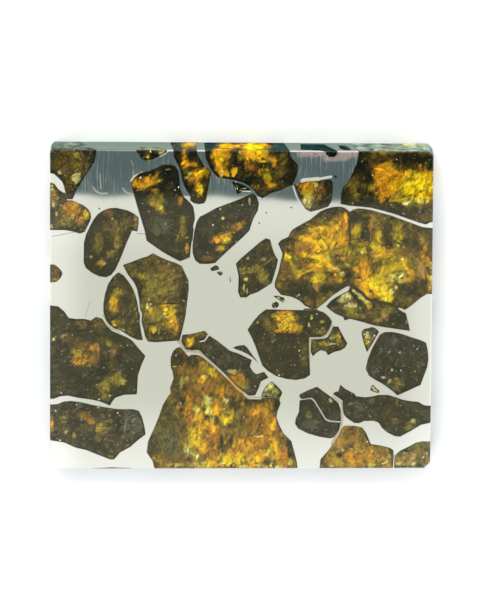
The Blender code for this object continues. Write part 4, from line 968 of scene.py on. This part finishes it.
def makeField(spec):
    patches = [(patchReach(patch), tintColour(tint), min(patch[2:4]) < spec.get("crisp", glow["small"]))
               for tint, drawn in spec["glows"].items() if tint in tints for patch in drawn]
    shadows = [(patchReach(patch), share) for tint, share in (("dark", 1.0), ("dim", glow["dimShare"]))
               for patch in spec["glows"].get(tint, [])]
    lines = [(lineReach(line), None if tint == "dark" else tintColour(tint))
             for tint, strokes in spec.get("lines", {}).items() for line in strokes]
    density, *names = spec["fill"]
    fills = [tintColour(name) for name in names]
    bright = spec.get("bright", glow["bright"])
    angle = math.radians(spec.get("grain", 90))
    run = Vector((math.cos(angle), math.sin(angle), 0))

    def field(place, fillShare, exact=None):
        exact = exact or place
        broken = clamp(noisy(glow["broken"], exact), 0.0, glow["brokenMost"])
        along, across = turned(place.x, place.y, angle)
        fray = Vector((along / glow["featherSize"][0], across / glow["featherSize"][1], 3.0))
        bent = place.copy()
        for size, shift in glow["warps"]:
            bent += noise.noise_vector(place / size) * shift
        bent += run * (noise.noise(fray) * glow["feather"])
        pick = clamp(cloudy(glow["pick"], place, 13.0), 0.0, 0.999) * (len(fills) - 1)
        fill = fills[int(pick)].lerp(fills[min(int(pick) + 1, len(fills) - 1)], pick % 1)
        thick = cloudy(glow["thick"], place, 7.0) + cloudy(glow["thickFine"], place, 5.0)
        thick = max(glow["thinnest"], density * thick)
        total = thick * thick * glow["fillWeight"]
        colour = fill * total
        lit = thick * fillShare
        for weight, tint, small in patches:
            share = weight(exact) * broken if small else weight(bent)
            if share > glow["faintest"]:
                colour += tint * share ** glow["contrast"]
                total += share ** glow["contrast"]
                lit += share * bright
        dim = sum(share * weight(bent) for weight, share in shadows) * noisy(glow["shadow"], place)
        presence = min(1.0, glow["gain"] * lit) * max(glow["shadowLeast"], 1.0 - glow["shadowGain"] * dim)
        colour = colour / max(total, 0.0001)
        for weight, tint in lines:
            share = weight(exact)
            if share:
                presence = mix(presence, 1.0 if tint else glow["darkLine"], share)
                colour = colour.lerp(tint, share) if tint else colour
        return colour, presence
    return field


def addFlake(seeds, dice, inside, place, colour, length, width, turn, tilt, dullness=1.0):
    lean = (dice.gauss(0, tilt), dice.gauss(0, tilt), turn)
    spin = Euler(lean).to_matrix()
    along = spin @ Vector((0.5 * length, 0, 0))
    across = spin @ Vector((0, 0.5 * width, 0))
    if all(inside(place + side, flakes["room"]) for side in (along, -along, across, -across)):
        thickness = min(flakes["thickness"] * width, flakes["thickest"] * (faceZ - place.z))
        colour = tuple(clamp(channel, 0.0, flakes["brightest"]) for channel in colour)
        seeds.append((place, (*colour, dullness), lean, (length, width, thickness)))


def shaded(colour, dice, shade):
    drift = dice.gauss(0, flakes["drift"])
    return (colour[0] * shade * (1 + 0.4 * drift), colour[1] * shade * (1 - drift), colour[2] * shade)


def growLayer(seeds, dice, inside, low, high, spec, field, layer, seed):
    area = (high.x - low.x) * (high.y - low.y) / mm ** 2
    slim = spec.get("slim", 1.0)
    for _ in range(round(area / layer["area"] * layer["coverage"])):
        depth = flakes["skin"] + layer["depth"] + dice.expovariate(1 / layer["spread"])
        if dice.random() < layer["deepShare"]:
            depth = dice.uniform(flakes["skin"], high.z - low.z)
        place = Vector((dice.uniform(low.x, high.x), dice.uniform(low.y, high.y), high.z - depth))
        if not inside(place, flakes["middleRoom"]):
            continue
        colour, presence = field(place, layer["fillShare"])
        if dice.random() > presence:
            continue
        length = min(layer["longest"], layer["shortest"] + dice.expovariate(1 / layer["more"])) / slim ** 0.5
        width = length * dice.uniform(*flakes["slimness"]) * slim
        shade = dice.uniform(*layer["shade"]) * cloudy(flakes["clouding"], place, 31.0)
        luck = dice.random()
        if luck < layer["dull"]:
            shade *= flakes["dullShade"]
        elif luck > 1 - layer["keen"]:
            shade *= flakes["keenShade"]
        turn = grainAt(place, spec, seed) + dice.gauss(0, flakes["turnSpread"])
        tilt = min(layer["tilt"], flakes["tiltRoom"] * depth / length)
        addFlake(seeds, dice, inside, place, shaded(colour, dice, shade), length, width, turn, tilt)


def growGlints(seeds, dice, inside, low, high, share):
    area = (high.x - low.x) * (high.y - low.y) / mm ** 2
    for _ in range(round(area * glints["number"] * share)):
        depth = flakes["skin"] + dice.uniform(0, glints["depth"]) * mm
        place = Vector((dice.uniform(low.x, high.x), dice.uniform(low.y, high.y), high.z - depth))
        length = min(glints["longest"], glints["shortest"] + dice.expovariate(1 / glints["more"])) * mm
        tint = tintColour(dice.choice(glints["tints"]))
        colour = shaded(tint, dice, dice.uniform(*glints["shade"]))
        addFlake(seeds, dice, inside, place, colour, length, length * dice.uniform(*glints["slimness"]),
                 dice.uniform(0, glints["turn"]), glints["tilt"], dice.choice(glints["dullness"]))


# The broad fracture under the polish: a thin crumpled sheet inside the clear crystal, broken into cleavage
# facets. Each facet is its length, width and turn from the grain, and how much of its middle's colour, tone
# and crack it shows.
sheet = {
    "cell": 0.12 * mm,
    "depth": 0.32 * mm,
    "shallowest": 0.1 * mm,
    "sink": 0.2 * mm,             # how much deeper it lies where nothing glows
    "crumple": 0.05 * mm,
    "crumpleSize": 0.7 * mm,
    "thickness": 0.02 * mm,
    "underside": 0.4,             # how bright its underside is
    "room": 0.025 * mm,
    "faintest": 0.02,
    "brightest": 0.97,
    "block": 2.6 * mm,            # the cleavage runs another way from block to block
    "bend": (0.5 * mm, 0.12),
    "facets": [(1.5 * mm, 0.65 * mm, 0.0, 0.30, 0.18, 0.16), (0.46 * mm, 0.27 * mm, 0.5, 0.18, 0.15, 0.08)],
    "facetLift": 0.05 * mm,
    "crack": 0.16,                # how wide the dark line between two facets is
    "shard": 0.55,
    "streakLength": 1.1 * mm,
    "streakWidth": 0.16 * mm,
    "streak": 0.7,
    "speck": (0.17 * mm, 0.8),
    "streakDepth": (1.25, 0.18),  # where it is dark, and where it glows
    "crumbSize": 0.27 * mm,       # small bright crumbs, in clusters
    "crumbRarity": 0.3,
    "crumbCluster": (0.6, 1.6, 2.0 * mm),
    "crumbLift": (5.0, 0.6),
    "brightness": 1.05,
    "contrast": 1.2,
    "darkest": 0.1,
}


def grainAt(place, spec, seed):
    _, centres = noise.voronoi(Vector((place.x / sheet["block"], place.y / sheet["block"], seed * 1.7)))
    return math.radians(spec.get("grain", 90)) + (noise.cell(centres[0] * 53.0) - 0.5) * spec.get("turn", 1.0)


def facetOf(flat, angle, length, width, seed):
    along, across = turned(flat.x, flat.y, angle)
    distances, centres = noise.voronoi(Vector((along / length, across / width, seed)))
    centre = Vector((*turned(centres[0].x * length, centres[0].y * width, -angle), flat.z))
    luck = noise.cell(centres[0] * 37.0) - 0.5
    return centre, luck, min(1.0, (distances[1] - distances[0]) / sheet["crack"])


def sheetPoint(flat, field, angle, seed, scale):
    bent = flat + noise.noise_vector(flat / sheet["bend"][0]) * sheet["bend"][1] * mm
    probe, tone, crack, lift = flat.copy(), 1.0, 1.0, 0.0
    for length, width, turn, share, depth, gap in sheet["facets"]:
        centre, luck, edge = facetOf(bent, angle + turn, length * scale, width * scale, seed)
        probe += (centre - flat) * share
        tone += luck * depth * 2
        crack *= 1 - gap * (1 - edge)
        lift += luck * share * sheet["facetLift"]
    colour, presence = field(probe, 1.0, flat)
    if presence < sheet["faintest"]:
        return None
    along, across = turned(flat.x, flat.y, angle)
    streak = noise.noise(Vector((along / sheet["streakLength"], across / sheet["streakWidth"], seed)))
    speck = noise.noise(flat / sheet["speck"][0])
    shade = sheet["brightness"] * presence ** sheet["contrast"] * tone * crack
    lit = min(1.0, 3 * max(colour) * presence)
    streaks = sheet["streak"] * streak + sheet["speck"][1] * speck
    shade *= max(sheet["darkest"], 1 + mix(*sheet["streakDepth"], lit) * streaks)
    crumb = noise.noise(flat / sheet["crumbSize"] + Vector((5, seed, 0))) - sheet["crumbRarity"]
    crumb = max(0.0, crumb) * max(0.0, cloudy(sheet["crumbCluster"], flat, 3.0 * seed))
    shade *= 1 + crumb * mix(*sheet["crumbLift"], lit)
    depth = sheet["depth"] + sheet["sink"] * (1 - presence) + lift
    depth += sheet["crumple"] * noise.noise(flat / sheet["crumpleSize"]) * 2
    depth += 0.3 * sheet["crumple"] * streak
    place = Vector((flat.x, flat.y, faceZ - max(sheet["shallowest"], depth)))
    return place, tuple(clamp(channel * shade, 0.0, sheet["brightest"]) for channel in colour)


def growSheet(name, shell, low, high, spec, field, seed):
    step = sheet["cell"]
    room = sheet["room"]
    tree = BVHTree.FromBMesh(shell)
    grid = {}
    for i in range(-1, int((high.x - low.x) / step) + 2):
        for j in range(-1, int((high.y - low.y) / step) + 2):
            flat = Vector((low.x + i * step, low.y + j * step, faceZ))
            spot, normal, _, distance = tree.find_nearest(flat - Vector((0, 0, sheet["depth"])))
            outward = Vector((flat.x - spot.x, flat.y - spot.y, 0))
            within = outward.dot(normal) < 0
            if not within and outward.length > 0.75 * step:
                continue
            if not within or distance < room:
                inward = Vector((normal.x, normal.y, 0)).normalized()
                flat = Vector((spot.x, spot.y, faceZ)) - inward * room
            scale = spec.get("shard", sheet["shard"])
            point = sheetPoint(flat, field, grainAt(flat, spec, seed), seed, scale)
            if point:
                spot, normal, _, distance = tree.find_nearest(point[0])
                if (point[0] - spot).dot(normal) < 0 and distance > 0.5 * room:
                    grid[i, j] = point
    cells = [(i, j) for i, j in grid if {(i + 1, j), (i + 1, j + 1), (i, j + 1)} <= grid.keys()]
    number = {}
    tops = []
    for i, j in cells:
        corners = ((i, j), (i + 1, j), (i + 1, j + 1), (i, j + 1))
        tops.append([number.setdefault(corner, len(number)) for corner in corners])
    upper = [grid[corner][0] for corner in number]
    lower = [place - Vector((0, 0, sheet["thickness"])) for place in upper]
    edges = {(quad[k], quad[(k + 1) % 4]) for quad in tops for k in range(4)}
    count = len(upper)
    bottoms = [[corner + count for corner in reversed(quad)] for quad in tops]
    walls = [[b, a, a + count, b + count] for a, b in sorted(edges) if (b, a) not in edges]
    mesh = bpy.data.meshes.new(name)
    mesh.from_pydata(upper + lower, [], tops + bottoms + walls)
    tint = mesh.attributes.new("tint", "FLOAT_COLOR", "POINT")
    for i, corner in enumerate(number):
        tint.data[i].color = (*grid[corner][1], 1.0)
        tint.data[i + count].color = (*(sheet["underside"] * channel for channel in grid[corner][1]), 1.0)
    mesh.shade_smooth()
    return mesh


# How far a point is inside the slab's nearest side or broken corner
def rimRoom(place):
    bottom = slab["low"].y + slab["bottomRise"] * (place.x / slabWidth + 0.5)
    beside = slab["high"].x - abs(place.x)
    endways = min(slab["high"].y - place.y, place.y - bottom)
    return min(beside, endways, beside + endways - slab["cornerReach"])


def onSide(face):
    steep = abs(face.normal.z) < sawn["steepest"]
    return steep and all(rimRoom(vertex.co) < slab["slack"] for vertex in face.verts)


def cutSides(shell, spec, field, seed):
    tint = shell.verts.layers.float_color.new("tint")
    for axis in (0, 1, 2):
        cuts = math.ceil(slab["high"][axis] * (1 if axis == 2 else 2) / sawn["cell"])
        across = Vector([float(axis == i) for i in range(3)])
        for i in range(1, cuts):
            faces = [face for face in shell.faces if onSide(face)]
            if not faces:
                return
            level = slab["low"][axis] + i * sawn["cell"]
            heights = [v.co[axis] for face in faces for v in face.verts]
            if not min(heights) < level < max(heights):
                continue
            parts = {v for face in faces for v in face.verts} | {e for face in faces for e in face.edges}
            bmesh.ops.bisect_plane(shell, geom=[*faces, *parts], dist=weld,
                                   plane_co=across * level, plane_no=across)
    dull = Vector(linearColour(spec.get("sawn", sawn["colour"]))[:3])
    for face in shell.faces:
        if not onSide(face):
            continue
        face.material_index = 2
        onTop = all(slab["high"].y - vertex.co.y < slab["slack"] for vertex in face.verts)
        for vertex in face.verts:
            x, y, z = vertex.co
            depth = faceZ - z
            if onTop:
                seen = Vector((x, y + sawn["rise"] * depth, faceZ))
            else:
                seen = Vector((x * sawn["inward"][0], y * sawn["inward"][1], faceZ))
            colour, presence = field(seen, sawn["fillShare"])
            share = sawn["glow"] * presence * min(1.0, sawn["glowGain"] * max(colour))
            if not onTop:
                share *= 1 - sawn["deepFade"] * depth / faceZ
            ragged = max(sawn["raggedLeast"], cloudy(sawn["ragged"], vertex.co, seed))
            vertex[tint] = (*(dull.lerp(colour, share) * ragged), 1.0)


def makeCrystal(node, spec, seed):
    shell = crystalShell(node)
    inside = insideTest(shell)
    dice = random.Random(seed)
    low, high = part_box(node)
    seeds = []
    field = makeField(spec)
    for layer in flakes["layers"]:
        growLayer(seeds, dice, inside, low, high, spec, field, layer, seed)
    growGlints(seeds, dice, inside, low, high, spec.get("glint", 1.0))
    for face in shell.faces:
        face.material_index = 0
    fracture = growSheet(node, shell, low, high, spec, field, seed)
    cutSides(shell, spec, field, seed)
    for real in (fracture, growFlakes(node, seeds, seed)):
        shell.from_mesh(real)
        first = len(shell.faces) - len(real.polygons)
        shell.faces.ensure_lookup_table()
        for face in shell.faces[first:]:
            face.material_index = 1
        bpy.data.meshes.remove(real)
    mesh = bpy.data.meshes.new("clear_" + node)
    shell.to_mesh(mesh)
    shell.free()
    for material in (clearMaterials[spec["slot"]], flakeFinish, sawnFinish):
        mesh.materials.append(material)
    piece = addObject("clear_" + node, mesh)
    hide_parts(node)
    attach(piece, "root")
    return len(seeds)


slotOf = {part["node"]: part["material_slot"] for part in frame["record"]["subparts"]}
plainLook = {"fill": (0.5, "moss", "oliveBrown", "umber"), "glows": {}}
flakeCount = 0
for number, node in enumerate(sorted(n for n in frame["nodes"] if n != "nickel_iron")):
    look = crystals.get(node.removeprefix("olivine_"), {})
    flakeCount += makeCrystal(node, {"slot": slotOf[node], **plainLook, **look}, number + 1)
print("crystals are grown,", flakeCount, "flakes")
